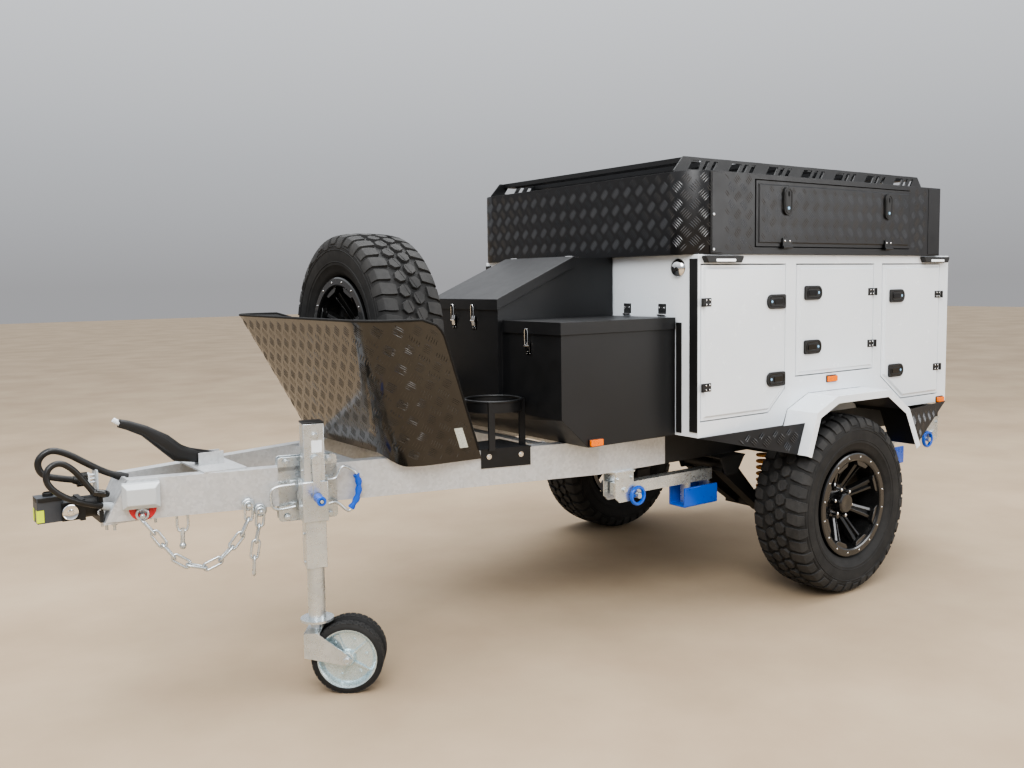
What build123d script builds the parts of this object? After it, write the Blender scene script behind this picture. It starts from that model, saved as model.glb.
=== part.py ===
"""Off-road camper trailer: single axle, galvanised A-frame, white box body, black checker-plate top box.

Millimetres. +X points to the rear, -Y is the left side, +Z is up. Z = 0 is the ground, Y = 0 the
centre plane and X = 0 the middle of the overall length.
"""
from math import atan2, cos, degrees, radians, sin, sqrt
import os

from build123d import *

# Overall stations along X
REAR_X = 2090.0
AXLE_X = 1080.0

# Wheels and tyres
TYRE_R = 402.0
TYRE_W = 264.0
TRACK_HALF = 755.0
RIM_FLANGE_R = 233.0
RIM_W = 240.0
RIM_WALL = 9.0
HUB_R = 62.0

# Chassis rails and A-frame
RAIL_W = 50.0
RAIL_H = 138.0
RAIL_TOP = 778.0
RAIL_WALL = 4.0
RAIL_OUT_Y = 522.0
NOSE_X = -1894.0
NOSE_HALF = 75.0
BEND_X = -119.0
GALV_END_X = 254.0
CHASSIS_END_X = 2040.0

# Body
BODY_FRONT_X = 220.0
BODY_REAR_X = 2050.0
BODY_HALF = 740.0
BODY_Z0 = RAIL_TOP
BODY_Z1 = 1517.0
WALL = 25.0
GAP = 5.0
RAISE = 7.0

# Top box
TOP_X0 = 180.0
TOP_X1 = 1933.0
TOP_HALF = 757.0
TOP_Z1 = 1848.0
TOP_SHEET = 4.0
TOP_CORNER_R = 130.0

# Front boxes
BOX_X0 = -386.0
BOX_HALF = 620.0
BOX_Z0 = RAIL_TOP
BOX_Z1 = 1243.0
BOX_SHEET = 3.0
MID_HALF = 242.0
MID_X0 = -407.0
MID_Z_FRONT = 1308.0
MID_Z_TOP = 1481.0
MID_BREAK_X = -3.0
LID_SHEET = 3.0

# Mudguards
GUARD_OUT_Y = 897.0
GUARD_SHEET = 3.0
GUARD_LIP = 33.0

# Jockey stand
JOCKEY_X, JOCKEY_Y = -1269.0, -338.0
JOCKEY_PIVOT_Z = 675.0
JOCKEY_TOP_Z = 945.0
JOCKEY_TUBE_END_Z = 440.0
JOCKEY_INNER_END_Z = 252.0
JOCKEY_WHEEL_R = 125.0
JOCKEY_WHEEL_W = 46.0
JOCKEY_WHEEL_PITCH = 76.0
CASTER_TRAIL = 110.0
CASTER_ANGLE = -35.0

RAIL_SLOPE = (RAIL_OUT_Y - NOSE_HALF) / (BEND_X - NOSE_X)
RAIL_ANGLE = degrees(atan2(RAIL_OUT_Y - NOSE_HALF, BEND_X - NOSE_X))


def rail_y(x):
    """Half-width over the outer faces of the rails at station x."""
    return NOSE_HALF + (x - NOSE_X) * RAIL_SLOPE if x < BEND_X else RAIL_OUT_Y


def save(piece, label):
    piece.label = label
    export_step(piece, f"parts/{label}.step")


def mirrored(piece):
    """The same piece on the right-hand side."""
    return mirror(piece, about=Plane.XZ)


def side_plane(y):
    """A vertical plane at the left station -y, drawn in X and Z, facing outwards."""
    return Plane.XZ.offset(y)


os.makedirs("parts", exist_ok=True)

# Drawbar: two mitred hollow rails that run from the nose to the galvanised ends under the body
INNER_SHIFT = RAIL_W / cos(radians(RAIL_ANGLE))


def rail_plan(inset, x_end):
    """Plan outline of the left rail, drawn inside its walls by inset."""
    side = inset / cos(radians(RAIL_ANGLE))
    nose_out = -(NOSE_HALF - side)
    nose_in = -(NOSE_HALF - INNER_SHIFT + side)
    return [
        (NOSE_X + inset, nose_out - inset * RAIL_SLOPE),
        (BEND_X, -(RAIL_OUT_Y - inset)),
        (x_end - inset, -(RAIL_OUT_Y - inset)),
        (x_end - inset, -(RAIL_OUT_Y - RAIL_W + inset)),
        (BEND_X + RAIL_W * 0.12, -(RAIL_OUT_Y - RAIL_W + inset)),
        (NOSE_X + inset, nose_in - inset * RAIL_SLOPE),
    ]


CROSS_STATIONS_FRONT = (-1440.0, -1060.0, -700.0, -300.0, 60.0)
CROSS_H = 80.0
BRAKE_PIVOT = (-1515.0, 812.0)

with BuildPart() as drawbar:
    with BuildSketch(Plane.XY.offset(RAIL_TOP - RAIL_H)):
        with BuildLine():
            Polyline(*rail_plan(0, GALV_END_X), close=True)
        make_face()
    extrude(amount=RAIL_H)
    with BuildSketch(Plane.XY.offset(RAIL_TOP - RAIL_H + RAIL_WALL)):
        with BuildLine():
            Polyline(*rail_plan(RAIL_WALL, GALV_END_X), close=True)
        make_face()
    extrude(amount=RAIL_H - 2 * RAIL_WALL, mode=Mode.SUBTRACT)
    mirror(about=Plane.XZ)
    for x in CROSS_STATIONS_FRONT:
        inner = rail_y(x) - INNER_SHIFT + 8
        with Locations((x, 0, RAIL_TOP - 10 - CROSS_H / 2)):
            Box(50, 2 * inner, CROSS_H)
    # slanted nose: the tops of the rails are cut back, and a plate closes the front
    with BuildSketch(side_plane(200)):
        with BuildLine():
            Polyline(
                (NOSE_X - 20, RAIL_TOP - RAIL_H + 1),
                (NOSE_X + 2, RAIL_TOP - RAIL_H + 1),
                (NOSE_X + 74, RAIL_TOP + 1),
                (NOSE_X - 20, RAIL_TOP + 1),
                close=True,
            )
        make_face()
    extrude(amount=-400, mode=Mode.SUBTRACT)
    with BuildSketch(side_plane(NOSE_HALF + 2)):
        with BuildLine():
            Polyline(
                (NOSE_X, RAIL_TOP - RAIL_H),
                (NOSE_X + 8, RAIL_TOP - RAIL_H),
                (NOSE_X + 82, RAIL_TOP),
                (NOSE_X + 72, RAIL_TOP),
                close=True,
            )
        make_face()
    extrude(amount=-2 * (NOSE_HALF + 2))
    # bottom nose plate that carries the coupling, and the plate under the hand brake
    with Locations((NOSE_X + 110, 0, RAIL_TOP - RAIL_H - 4)):
        Box(230, 150, 8)
    with Locations((-1510, 0, RAIL_TOP + 3)):
        Box(150, 2 * rail_y(-1510) - 30, 6)
    for y in (-22.0, 22.0):
        with Locations((BRAKE_PIVOT[0], y, (RAIL_TOP + 6 + BRAKE_PIVOT[1] + 16) / 2)):
            Box(90, 6, BRAKE_PIVOT[1] + 10 - RAIL_TOP)
save(drawbar.part, "drawbar")

# Black rear half of the chassis: straight rails, cross-members, arm pivots, spring seats, stand beam
CROSS_STATIONS_REAR = (420.0, 760.0, 1400.0, 1760.0)
ARM_PIVOT = (600.0, 592.0)
SPRING = dict(x=905.0, y=545.0, r=52.0, wire=8.0, z0=440.0, z1=628.0, turns=6)
STAND_BEAM_X = 1985.0
with BuildPart() as chassis_rails:
    for s in (-1, 1):
        with Locations(((GALV_END_X + CHASSIS_END_X) / 2, s * (RAIL_OUT_Y - RAIL_W / 2), RAIL_TOP - RAIL_H / 2)):
            Box(CHASSIS_END_X - GALV_END_X, RAIL_W, RAIL_H)
            Box(CHASSIS_END_X - GALV_END_X - 8, RAIL_W - 8, RAIL_H - 8, mode=Mode.SUBTRACT)
    for x in CROSS_STATIONS_REAR:
        with Locations((x, 0, RAIL_TOP - 12 - CROSS_H / 2)):
            Box(50, 2 * (RAIL_OUT_Y - RAIL_W) + 2, CROSS_H)
    for s in (-1, 1):
        for y in (582.0, 316.0):
            with BuildSketch(side_plane(-s * y)):
                with BuildLine():
                    Polyline(
                        (ARM_PIVOT[0] - 70, RAIL_TOP - RAIL_H), (ARM_PIVOT[0] - 34, ARM_PIVOT[1] - 36),
                        (ARM_PIVOT[0] + 34, ARM_PIVOT[1] - 36), (ARM_PIVOT[0] + 90, RAIL_TOP - RAIL_H),
                        close=True,
                    )
                make_face()
            extrude(amount=4, both=True)
        with Locations((ARM_PIVOT[0] + 10, s * 449, RAIL_TOP - RAIL_H - 4)):
            Box(160, 274, 8)
        with Locations((SPRING["x"], s * (SPRING["y"] - 10), (RAIL_TOP - RAIL_H + SPRING["z1"]) / 2)):
            Box(150, 150, RAIL_TOP - RAIL_H - SPRING["z1"])
        with Locations((STAND_BEAM_X, s * (RAIL_OUT_Y + 100), RAIL_TOP - 50)):
            Box(60, 204, 60)
save(chassis_rails.part, "chassis_rails")

# Rear bumper beam with its mounting plates on the ends of the rails
with BuildPart() as rear_bumper:
    with Locations((REAR_X - 25, 0, 700)):
        Box(50, 1240, 90)
    fillet(rear_bumper.edges().filter_by(Axis.Z), 12)
    for s in (-1, 1):
        with Locations((CHASSIS_END_X + 3, s * (RAIL_OUT_Y - RAIL_W / 2), 700)):
            Box(6, 90, 110)
save(rear_bumper.part, "rear_bumper")

# Side doors: outline in X and Z, hinge line, heights of hinges and locks, turn is +1 with hinges in front
DOORS = {
    "front": dict(
        outline=[(239, 846), (653, 846), (760, 940), (760, 1474), (239, 1474)],
        hinge_x=234.0, hinge_z=(1325.0, 981.0), lock_x=690.0, lock_z=(1318.0, 986.0), turn=1,
    ),
    "middle": dict(
        outline=[(839, 990), (1405, 990), (1405, 1474), (839, 1474)],
        hinge_x=1410.0, hinge_z=(1348.0, 1106.0), lock_x=940.0, lock_z=(1351.0, 1112.0), turn=-1,
    ),
    "rear": dict(
        outline=[(1649, 826), (1968, 826), (1968, 1474), (1480, 1474), (1480, 944)],
        hinge_x=1973.0, hinge_z=(1325.0, 960.0), lock_x=1585.0, lock_z=(1325.0, 966.0), turn=-1,
    ),
}
HATCH = dict(half=600.0, z0=850.0, z1=1474.0)
ARCH_Y = 606.0
ARCH_POINTS = [(752, BODY_Z0 - 1), (783, 846), (927, 907), (1313, 905), (1474, 806), (1488, BODY_Z0 - 1)]
ARCH_LINER = [(743, BODY_Z0), (776, 852), (925, 914), (1315, 912), (1480, 811), (1497, BODY_Z0)]
BULKHEAD_X = (800.0, 1442.0)

with BuildPart() as body_shell:
    with Locations(((BODY_FRONT_X + BODY_REAR_X) / 2, 0, (BODY_Z0 + BODY_Z1) / 2)):
        Box(BODY_REAR_X - BODY_FRONT_X, 2 * BODY_HALF, BODY_Z1 - BODY_Z0)
        Box(
            BODY_REAR_X - BODY_FRONT_X - 2 * WALL, 2 * (BODY_HALF - WALL), BODY_Z1 - BODY_Z0 - 2 * WALL,
            mode=Mode.SUBTRACT,
        )
    for x in BULKHEAD_X:
        with Locations((x, 0, (BODY_Z0 + BODY_Z1) / 2)):
            Box(14, 2 * BODY_HALF - WALL, BODY_Z1 - BODY_Z0 - WALL)
    # wheel boxes, then the arches inside them
    for points, y_in, y_out, mode in (
        (ARCH_LINER, ARCH_Y - 6, BODY_HALF - 1, Mode.ADD),
        (ARCH_POINTS, ARCH_Y, BODY_HALF + 40, Mode.SUBTRACT),
    ):
        for s in (-1, 1):
            with BuildSketch(side_plane(-s * y_out)):
                with BuildLine():
                    Polyline(*points, close=True)
                make_face()
            extrude(amount=s * (y_out - y_in), mode=mode)
    # door openings, larger all round than the doors
    for door in DOORS.values():
        for s in (-1, 1):
            with BuildSketch(side_plane(-s * (BODY_HALF + 5))):
                with BuildLine():
                    Polyline(*door["outline"], close=True)
                make_face()
                offset(amount=GAP, kind=Kind.INTERSECTION)
            extrude(amount=s * (WALL + 8), mode=Mode.SUBTRACT)
    with Locations((BODY_REAR_X - WALL / 2, 0, (HATCH["z0"] + HATCH["z1"]) / 2)):
        Box(WALL + 10, 2 * (HATCH["half"] + GAP), HATCH["z1"] - HATCH["z0"] + 2 * GAP, mode=Mode.SUBTRACT)
save(body_shell.part, "body_shell")

HINGE_PIN_Y = BODY_HALF + RAISE + 6
HINGE_LEAF = 44.0


def door_panel(outline):
    """A door as thick as the wall, with a raised bevelled face."""
    with BuildPart() as panel:
        with BuildSketch(side_plane(BODY_HALF)):
            with BuildLine():
                Polyline(*outline, close=True)
            make_face()
        extrude(amount=-WALL)
        with BuildSketch(side_plane(BODY_HALF)):
            with BuildLine():
                Polyline(*outline, close=True)
            make_face()
            offset(amount=-10, kind=Kind.INTERSECTION)
        extrude(amount=RAISE, taper=50)
    return panel.part


def door_hardware(door, panel):
    """Two hinge knuckles with their door leaves, and two D-shaped locks, seated on the panel."""
    turn = door["turn"]
    with BuildPart() as kit:
        for z in door["hinge_z"]:
            with Locations((door["hinge_x"], -HINGE_PIN_Y, z)):
                Cylinder(6, 34)
            with Locations((door["hinge_x"] + turn * (6 + GAP + HINGE_LEAF) / 2, -(HINGE_PIN_Y - 2), z)):
                Box(GAP + HINGE_LEAF, 4, 34)
            with Locations((door["hinge_x"] + turn * 42, -(BODY_HALF + RAISE / 2 + 1), z)):
                Box(20, RAISE + 8, 34)
        for z in door["lock_z"]:
            with BuildSketch(side_plane(BODY_HALF + RAISE)):
                with Locations((door["lock_x"], z)):
                    RectangleRounded(118, 82, 30)
            extrude(amount=9, taper=12)
        add(panel, mode=Mode.SUBTRACT)
    return kit.part


for name, door in DOORS.items():
    panel = door_panel(door["outline"])
    kit = door_hardware(door, panel)
    save(panel, f"door_left_{name}")
    save(kit, f"hardware_left_{name}")
    save(mirrored(panel), f"door_right_{name}")
    save(mirrored(kit), f"hardware_right_{name}")

# Rear hatch, hinged along its top edge
with BuildPart() as rear_hatch:
    with Locations((BODY_REAR_X - WALL / 2, 0, (HATCH["z0"] + HATCH["z1"]) / 2)):
        Box(WALL, 2 * HATCH["half"], HATCH["z1"] - HATCH["z0"])
    with BuildSketch(Plane.YZ.offset(BODY_REAR_X)):
        with Locations((0, (HATCH["z0"] + HATCH["z1"]) / 2)):
            Rectangle(2 * HATCH["half"] - 20, HATCH["z1"] - HATCH["z0"] - 20)
    extrude(amount=RAISE, taper=50)
    for y in (-420.0, 420.0):
        with Locations((BODY_REAR_X + RAISE + 6, y, HATCH["z1"] + GAP)):
            Cylinder(6, 60, rotation=(90, 0, 0))
        with Locations((BODY_REAR_X + RAISE + 4, y, HATCH["z1"] - 12)):
            Box(4, 60, 40)
        with Locations((BODY_REAR_X + RAISE / 2 + 1, y, HATCH["z1"] - 26)):
            Box(RAISE + 6, 60, 16)
save(rear_hatch.part, "rear_hatch")

# Black checker-plate top box: rounded front corners, drop-down doors on both sides
TOP_DOOR = dict(x0=545.0, x1=1663.0, z0=1552.0, z1=1821.0)
TOP_DOOR_X = (TOP_DOOR["x0"] + TOP_DOOR["x1"]) / 2
TOP_DOOR_Z = (TOP_DOOR["z0"] + TOP_DOOR["z1"]) / 2
with BuildPart() as top_box:
    for inset, mode in ((0, Mode.ADD), (TOP_SHEET, Mode.SUBTRACT)):
        with BuildSketch(Plane.XY.offset(BODY_Z1 + inset)):
            with Locations(((TOP_X0 + TOP_X1) / 2, 0)):
                Rectangle(TOP_X1 - TOP_X0 - 2 * inset, 2 * (TOP_HALF - inset))
            fillet(vertices().group_by(Axis.X)[0], TOP_CORNER_R - inset)
        extrude(amount=TOP_Z1 - BODY_Z1 - 2 * inset, mode=mode)
    for s in (-1, 1):
        with Locations((TOP_DOOR_X, s * TOP_HALF, TOP_DOOR_Z)):
            Box(
                TOP_DOOR["x1"] - TOP_DOOR["x0"] + 2 * GAP, 40, TOP_DOOR["z1"] - TOP_DOOR["z0"] + 2 * GAP,
                mode=Mode.SUBTRACT,
            )
        # strips beside the rounded front corners and at the rear posts
        for x, w in ((310.0, 60.0), (1878.0, 100.0)):
            with Locations((x, s * (TOP_HALF + 1), (BODY_Z1 + TOP_Z1) / 2)):
                Box(w, 2, TOP_Z1 - BODY_Z1 - 12)
save(top_box.part, "top_box")

with BuildPart() as top_door:
    with BuildSketch(side_plane(TOP_HALF + 2)):
        with Locations((TOP_DOOR_X, TOP_DOOR_Z)):
            Rectangle(TOP_DOOR["x1"] - TOP_DOOR["x0"], TOP_DOOR["z1"] - TOP_DOOR["z0"])
    extrude(amount=-14)
    with BuildSketch(side_plane(TOP_HALF + 2)):
        with Locations((TOP_DOOR_X, TOP_DOOR_Z)):
            Rectangle(TOP_DOOR["x1"] - TOP_DOOR["x0"] - 24, TOP_DOOR["z1"] - TOP_DOOR["z0"] - 24)
    extrude(amount=5, taper=45)
    for x in (735.0, 1479.0):
        with Locations((x, -(TOP_HALF + 13), TOP_DOOR["z0"] - GAP)):
            Cylinder(6, 60, rotation=(0, 90, 0))
        with Locations((x, -(TOP_HALF + 11), TOP_DOOR["z0"] + 14)):
            Box(60, 4, 40)
        with Locations((x, -(TOP_HALF + 5), TOP_DOOR["z0"] + 26)):
            Box(60, 14, 16)
save(top_door.part, "top_door_left")
save(mirrored(top_door.part), "top_door_right")

# Roof rack: slotted side plates with raked ends, and cross slats
RACK_Y = 640.0
RACK_T = 6.0
RACK_X = (186.0, 240.0, 1918.0, 1952.0)
RACK_Z0, RACK_Z1 = TOP_Z1, 1913.0
RACK_GROUPS = 7
with BuildPart() as roof_rack:
    for s in (-1, 1):
        with BuildSketch(side_plane(-s * RACK_Y)):
            with BuildLine():
                Polyline(
                    (RACK_X[0], RACK_Z0 + 6), (RACK_X[1], RACK_Z1), (RACK_X[2], RACK_Z1), (RACK_X[3], RACK_Z0 + 22),
                    (RACK_X[3], RACK_Z0), (RACK_X[0], RACK_Z0),
                    close=True,
                )
            make_face()
            pitch = (RACK_X[2] - RACK_X[1]) / RACK_GROUPS
            for i in range(RACK_GROUPS):
                x = RACK_X[1] + pitch * (i + 0.5)
                with BuildLine():
                    Polyline(
                        (x - 92, RACK_Z0 + 16), (x - 66, RACK_Z1 - 12), (x - 8, RACK_Z1 - 12), (x - 34, RACK_Z0 + 16),
                        close=True,
                    )
                make_face(mode=Mode.SUBTRACT)
                for dx in (14, 62):
                    with BuildLine():
                        Polyline(
                            (x + dx - 26, RACK_Z0 + 16), (x + dx, RACK_Z1 - 12),
                            (x + dx + 22, RACK_Z1 - 12), (x + dx - 4, RACK_Z0 + 16),
                            close=True,
                        )
                    make_face(mode=Mode.SUBTRACT)
        extrude(amount=s * RACK_T)
    for i in range(9):
        with Locations((300 + i * (1850 - 300) / 8, 0, RACK_Z1 - 9)):
            Box(70, 2 * RACK_Y - RACK_T, 20)
save(roof_rack.part, "roof_rack")

# Mudguards: five flats with a turned-down outer lip
GUARD_POINTS = [(718, 667), (783, 845), (927, 906), (1313, 904), (1474, 804), (1570, 620)]
with BuildPart() as mudguards:
    with BuildSketch(side_plane(BODY_HALF)):
        with BuildLine():
            guard_line = Polyline(*GUARD_POINTS)
            offset(guard_line, amount=GUARD_SHEET, side=Side.RIGHT)
        make_face()
    extrude(amount=GUARD_OUT_Y - BODY_HALF)
    with BuildSketch(side_plane(GUARD_OUT_Y - GUARD_SHEET)):
        with BuildLine():
            guard_line = Polyline(*GUARD_POINTS)
            offset(guard_line, amount=GUARD_LIP, side=Side.RIGHT)
        make_face()
    extrude(amount=GUARD_SHEET)
    mirror(about=Plane.XZ)
save(mudguards.part, "mudguards")

# Checker-plate deflectors between the body's lower corners and the mudguards
DEFLECTORS = {
    "front": ((222, -742, 777), (762, -850, 800), (713, -850, 668)),
    "rear": ((2046, -742, 777), (1490, -872, 792), (1580, -872, 622)),
}
with BuildPart() as deflectors:
    for corners in DEFLECTORS.values():
        sheet = Face(Wire.make_polygon(corners, close=True))
        extrude(to_extrude=sheet, amount=3)
    mirror(about=Plane.XZ)
save(deflectors.part, "deflectors")

# Front storage boxes: one shell with a raised middle
BOX_BACK_X = BODY_FRONT_X - 6
MID_Z0 = BOX_Z0 + 130
with BuildPart() as front_boxes:
    with BuildSketch(side_plane(BOX_HALF)):
        with BuildLine():
            Polyline(
                (BOX_X0, BOX_Z1), (BOX_X0, 895), (-256, BOX_Z0), (BOX_BACK_X, BOX_Z0), (BOX_BACK_X, BOX_Z1),
                close=True,
            )
        make_face()
    extrude(amount=-2 * BOX_HALF)
    with BuildSketch(side_plane(MID_HALF)):
        with BuildLine():
            Polyline(
                (MID_X0, MID_Z0), (MID_X0, MID_Z_FRONT), (MID_BREAK_X, MID_Z_TOP), (MID_BREAK_X, BODY_Z1),
                (BOX_BACK_X, BODY_Z1), (BOX_BACK_X, MID_Z0),
                close=True,
            )
        make_face()
    extrude(amount=-2 * MID_HALF)
    for y0, y1 in ((-BOX_HALF, -MID_HALF), (MID_HALF, BOX_HALF)):
        with BuildSketch(side_plane(-y0 - BOX_SHEET)):
            with BuildLine():
                Polyline(
                    (BOX_X0 + BOX_SHEET, BOX_Z1 + 1), (BOX_X0 + BOX_SHEET, 898), (-254, BOX_Z0 + BOX_SHEET),
                    (BOX_BACK_X - BOX_SHEET, BOX_Z0 + BOX_SHEET), (BOX_BACK_X - BOX_SHEET, BOX_Z1 + 1),
                    close=True,
                )
            make_face()
        extrude(amount=-(y1 - y0 - 2 * BOX_SHEET), mode=Mode.SUBTRACT)
    with BuildSketch(side_plane(MID_HALF - BOX_SHEET)):
        with BuildLine():
            Polyline(
                (MID_X0 + BOX_SHEET, MID_Z0 + BOX_SHEET), (MID_X0 + BOX_SHEET, MID_Z_FRONT + 2),
                (MID_BREAK_X, MID_Z_TOP + 3), (MID_BREAK_X, BODY_Z1 - BOX_SHEET),
                (BOX_BACK_X - BOX_SHEET, BODY_Z1 - BOX_SHEET), (BOX_BACK_X - BOX_SHEET, MID_Z0 + BOX_SHEET),
                close=True,
            )
        make_face()
    extrude(amount=-2 * (MID_HALF - BOX_SHEET), mode=Mode.SUBTRACT)
save(front_boxes.part, "front_boxes")

# Lids of the side boxes: flat trays turned upside down over the boxes' rims
LID_OVER = GAP + LID_SHEET
LID_X = (BOX_X0 - LID_OVER, BOX_BACK_X - GAP)
LID_Y = (-(BOX_HALF + LID_OVER), -(MID_HALF + LID_OVER + 2 * LID_SHEET))
LID_RISE = 21.0
LID_DROP = 27.0
with BuildPart() as lid_left:
    with Locations(((LID_X[0] + LID_X[1]) / 2, (LID_Y[0] + LID_Y[1]) / 2, BOX_Z1 + (LID_RISE - LID_DROP) / 2)):
        Box(LID_X[1] - LID_X[0], LID_Y[1] - LID_Y[0], LID_RISE + LID_DROP)
    hollow_x = (LID_X[0] + LID_SHEET, LID_X[1] + 2)
    hollow_y = (LID_Y[0] + LID_SHEET, LID_Y[1] + 2)
    hollow_z = (BOX_Z1 - LID_DROP - 1, BOX_Z1 + LID_RISE - LID_SHEET)
    with Locations((sum(hollow_x) / 2, sum(hollow_y) / 2, sum(hollow_z) / 2)):
        Box(
            hollow_x[1] - hollow_x[0], hollow_y[1] - hollow_y[0], hollow_z[1] - hollow_z[0],
            mode=Mode.SUBTRACT,
        )
save(lid_left.part, "lid_left")
save(mirrored(lid_left.part), "lid_right")

# Sloping lid of the raised middle box, hinged along its upper edge
SLOPE = (MID_Z_TOP - MID_Z_FRONT) / (MID_BREAK_X - MID_X0)
MID_LID_RISE = 44.0


def mid_lid_outline(inset, drop):
    """Side outline of the sloping lid, or of its hollow when inset is the sheet."""
    x0, x1 = MID_X0 - LID_OVER + inset, MID_BREAK_X - GAP
    z0 = MID_Z_FRONT + (x0 - MID_X0) * SLOPE
    z1 = MID_Z_FRONT + (x1 - MID_X0) * SLOPE
    return [(x0, z0 - drop), (x0, z0 + MID_LID_RISE - inset), (x1, z1 + MID_LID_RISE - inset), (x1, z1 - drop)]


with BuildPart() as lid_middle:
    for half, inset, drop, mode in (
        (MID_HALF + LID_OVER, 0, 0, Mode.ADD),
        (MID_HALF + GAP, LID_SHEET, 5, Mode.SUBTRACT),
    ):
        with BuildSketch(side_plane(half)):
            with BuildLine():
                Polyline(*mid_lid_outline(inset, drop), close=True)
            make_face()
        extrude(amount=-2 * half, mode=mode)
save(lid_middle.part, "lid_middle")

# Chrome hinges of the lids and their over-centre latches
with BuildPart() as lid_hardware:
    for y in (-200.0, 200.0):
        with Locations((MID_BREAK_X + 26, y, BODY_Z1 + 3)):
            Box(40, 46, 6)
    for s in (-1, 1):
        for y in (330.0, 540.0):
            with Locations((BODY_FRONT_X - 3, s * y, BOX_Z1 + 50)):
                Box(6, 46, 50)
        with Locations((MID_X0 - 5, s * 76, 1225)):
            Box(10, 34, 110)
        with Locations((BOX_X0 - 5, s * 420, 1150)):
            Box(10, 34, 100)
save(lid_hardware.part, "lid_hardware")

# Stone guard: a folded checker-plate shield that leans forward and flares towards its top
GUARD_LOW = dict(x_front=-985.0, half_front=395.0, x_back=-611.0, half_back=411.0, z=750.0)
GUARD_HIGH = dict(x_front=-1170.0, half_front=640.0, x_back=-915.0, half_back=618.0, z=1295.0)
STONE_SHEET = 4.0


def shield_section(share, inset, back):
    """Plan outline at a share of the height, with its sides moved in by inset."""
    xf, hf, xb, hb, z = (
        GUARD_LOW[key] + share * (GUARD_HIGH[key] - GUARD_LOW[key])
        for key in ("x_front", "half_front", "x_back", "half_back", "z")
    )
    return z, [(xb + back, -hb + inset), (xf + inset, -hf + inset), (xf + inset, hf - inset), (xb + back, hb - inset)]


with BuildPart() as stone_guard:
    for inset, back, over, mode in ((0, 0, 0, Mode.ADD), (STONE_SHEET, 5, 0.01, Mode.SUBTRACT)):
        for share in (-over, 1 + over):
            z, outline = shield_section(share, inset, back)
            with BuildSketch(Plane.XY.offset(z)):
                with BuildLine():
                    Polyline(*outline, close=True)
                make_face()
                fillet(vertices().group_by(Axis.X)[0], 60 - inset)
        loft(ruled=True, mode=mode)
    # the front panel ends above the rails
    with Locations((-1000, 0, 760)):
        Box(240, 2 * 340, 84, mode=Mode.SUBTRACT)
save(stone_guard.part, "stone_guard")

# Gas bottle holders on both rails: tray with an outer flange, two legs and a ring
RING = dict(x=-507.0, y=345.0, r=112.0, z=965.0, h=44.0)
RAIL_DIR = (cos(radians(RAIL_ANGLE)), -sin(radians(RAIL_ANGLE)))
RAIL_OUTWARD = (-sin(radians(RAIL_ANGLE)), -cos(radians(RAIL_ANGLE)))


def rail_face(x, z):
    """Plane on the left rail's outer face at station x, its local x running rearwards along the rail."""
    return Plane(origin=(x, -rail_y(x), z), x_dir=(*RAIL_DIR, 0), z_dir=(*RAIL_OUTWARD, 0))


with BuildPart() as bottle_holders:
    with BuildSketch(Plane.XY.offset(RAIL_TOP)):
        with BuildLine():
            Polyline(
                (-607, -240), (-607, -rail_y(-607) - 4), (-405, -rail_y(-405) - 4), (-405, -240),
                close=True,
            )
        make_face()
    extrude(amount=4)
    with BuildSketch(rail_face(-507, RAIL_TOP - 33)):
        Rectangle(204, 74)
    extrude(amount=4)
    for x in (-577.0, -412.0):
        side = sqrt(RING["r"] ** 2 - (x - RING["x"]) ** 2)
        with Locations((x, -(RING["y"] + side - 1), (RAIL_TOP + RING["z"]) / 2)):
            Box(28, 8, RING["z"] - RAIL_TOP)
    with Locations((RING["x"], -RING["y"], RING["z"] - RING["h"] / 2)):
        Cylinder(RING["r"], RING["h"])
        Cylinder(RING["r"] - 5, RING["h"], mode=Mode.SUBTRACT)
    mirror(about=Plane.XZ)
save(bottle_holders.part, "bottle_holders")

# Road wheel: rim with barrel, eight split spokes and hub, and a tyre with lugs to be added to it
RIM_BARREL_R = 196.0
SPOKES = 8


def make_rim():
    """Rim about the Z axis, outer face up, centred on the wheel's middle plane."""
    with BuildPart() as rim:
        half = RIM_W / 2
        with BuildSketch(Plane.XZ):
            with BuildLine():
                Polyline(
                    (RIM_FLANGE_R, half), (RIM_FLANGE_R, half - 8), (RIM_FLANGE_R - 14, half - 16),
                    (RIM_BARREL_R + RIM_WALL, half - 60), (RIM_BARREL_R + RIM_WALL, -half + 50),
                    (RIM_FLANGE_R - 14, -half + 12), (RIM_FLANGE_R, -half + 6), (RIM_FLANGE_R, -half),
                    (RIM_FLANGE_R - 24, -half), (RIM_BARREL_R, -half + 44), (RIM_BARREL_R, half - 62),
                    (RIM_FLANGE_R - 30, half - 14), (RIM_FLANGE_R - 30, half),
                    close=True,
                )
            make_face()
        revolve(axis=Axis.Z)
        with BuildSketch(Plane.XY.offset(20)):
            Circle(RIM_BARREL_R + 2)
            Circle(92, mode=Mode.SUBTRACT)
            with PolarLocations(145, SPOKES):
                RectangleRounded(96, 62, 14, mode=Mode.SUBTRACT)
        extrude(amount=34)
        with BuildSketch(Plane.XY.offset(4)):
            Circle(94)
            Circle(HUB_R - 6, mode=Mode.SUBTRACT)
        extrude(amount=30)
        with Locations((0, 0, -38)):
            Cylinder(HUB_R, 184)
    return rim.part


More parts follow.
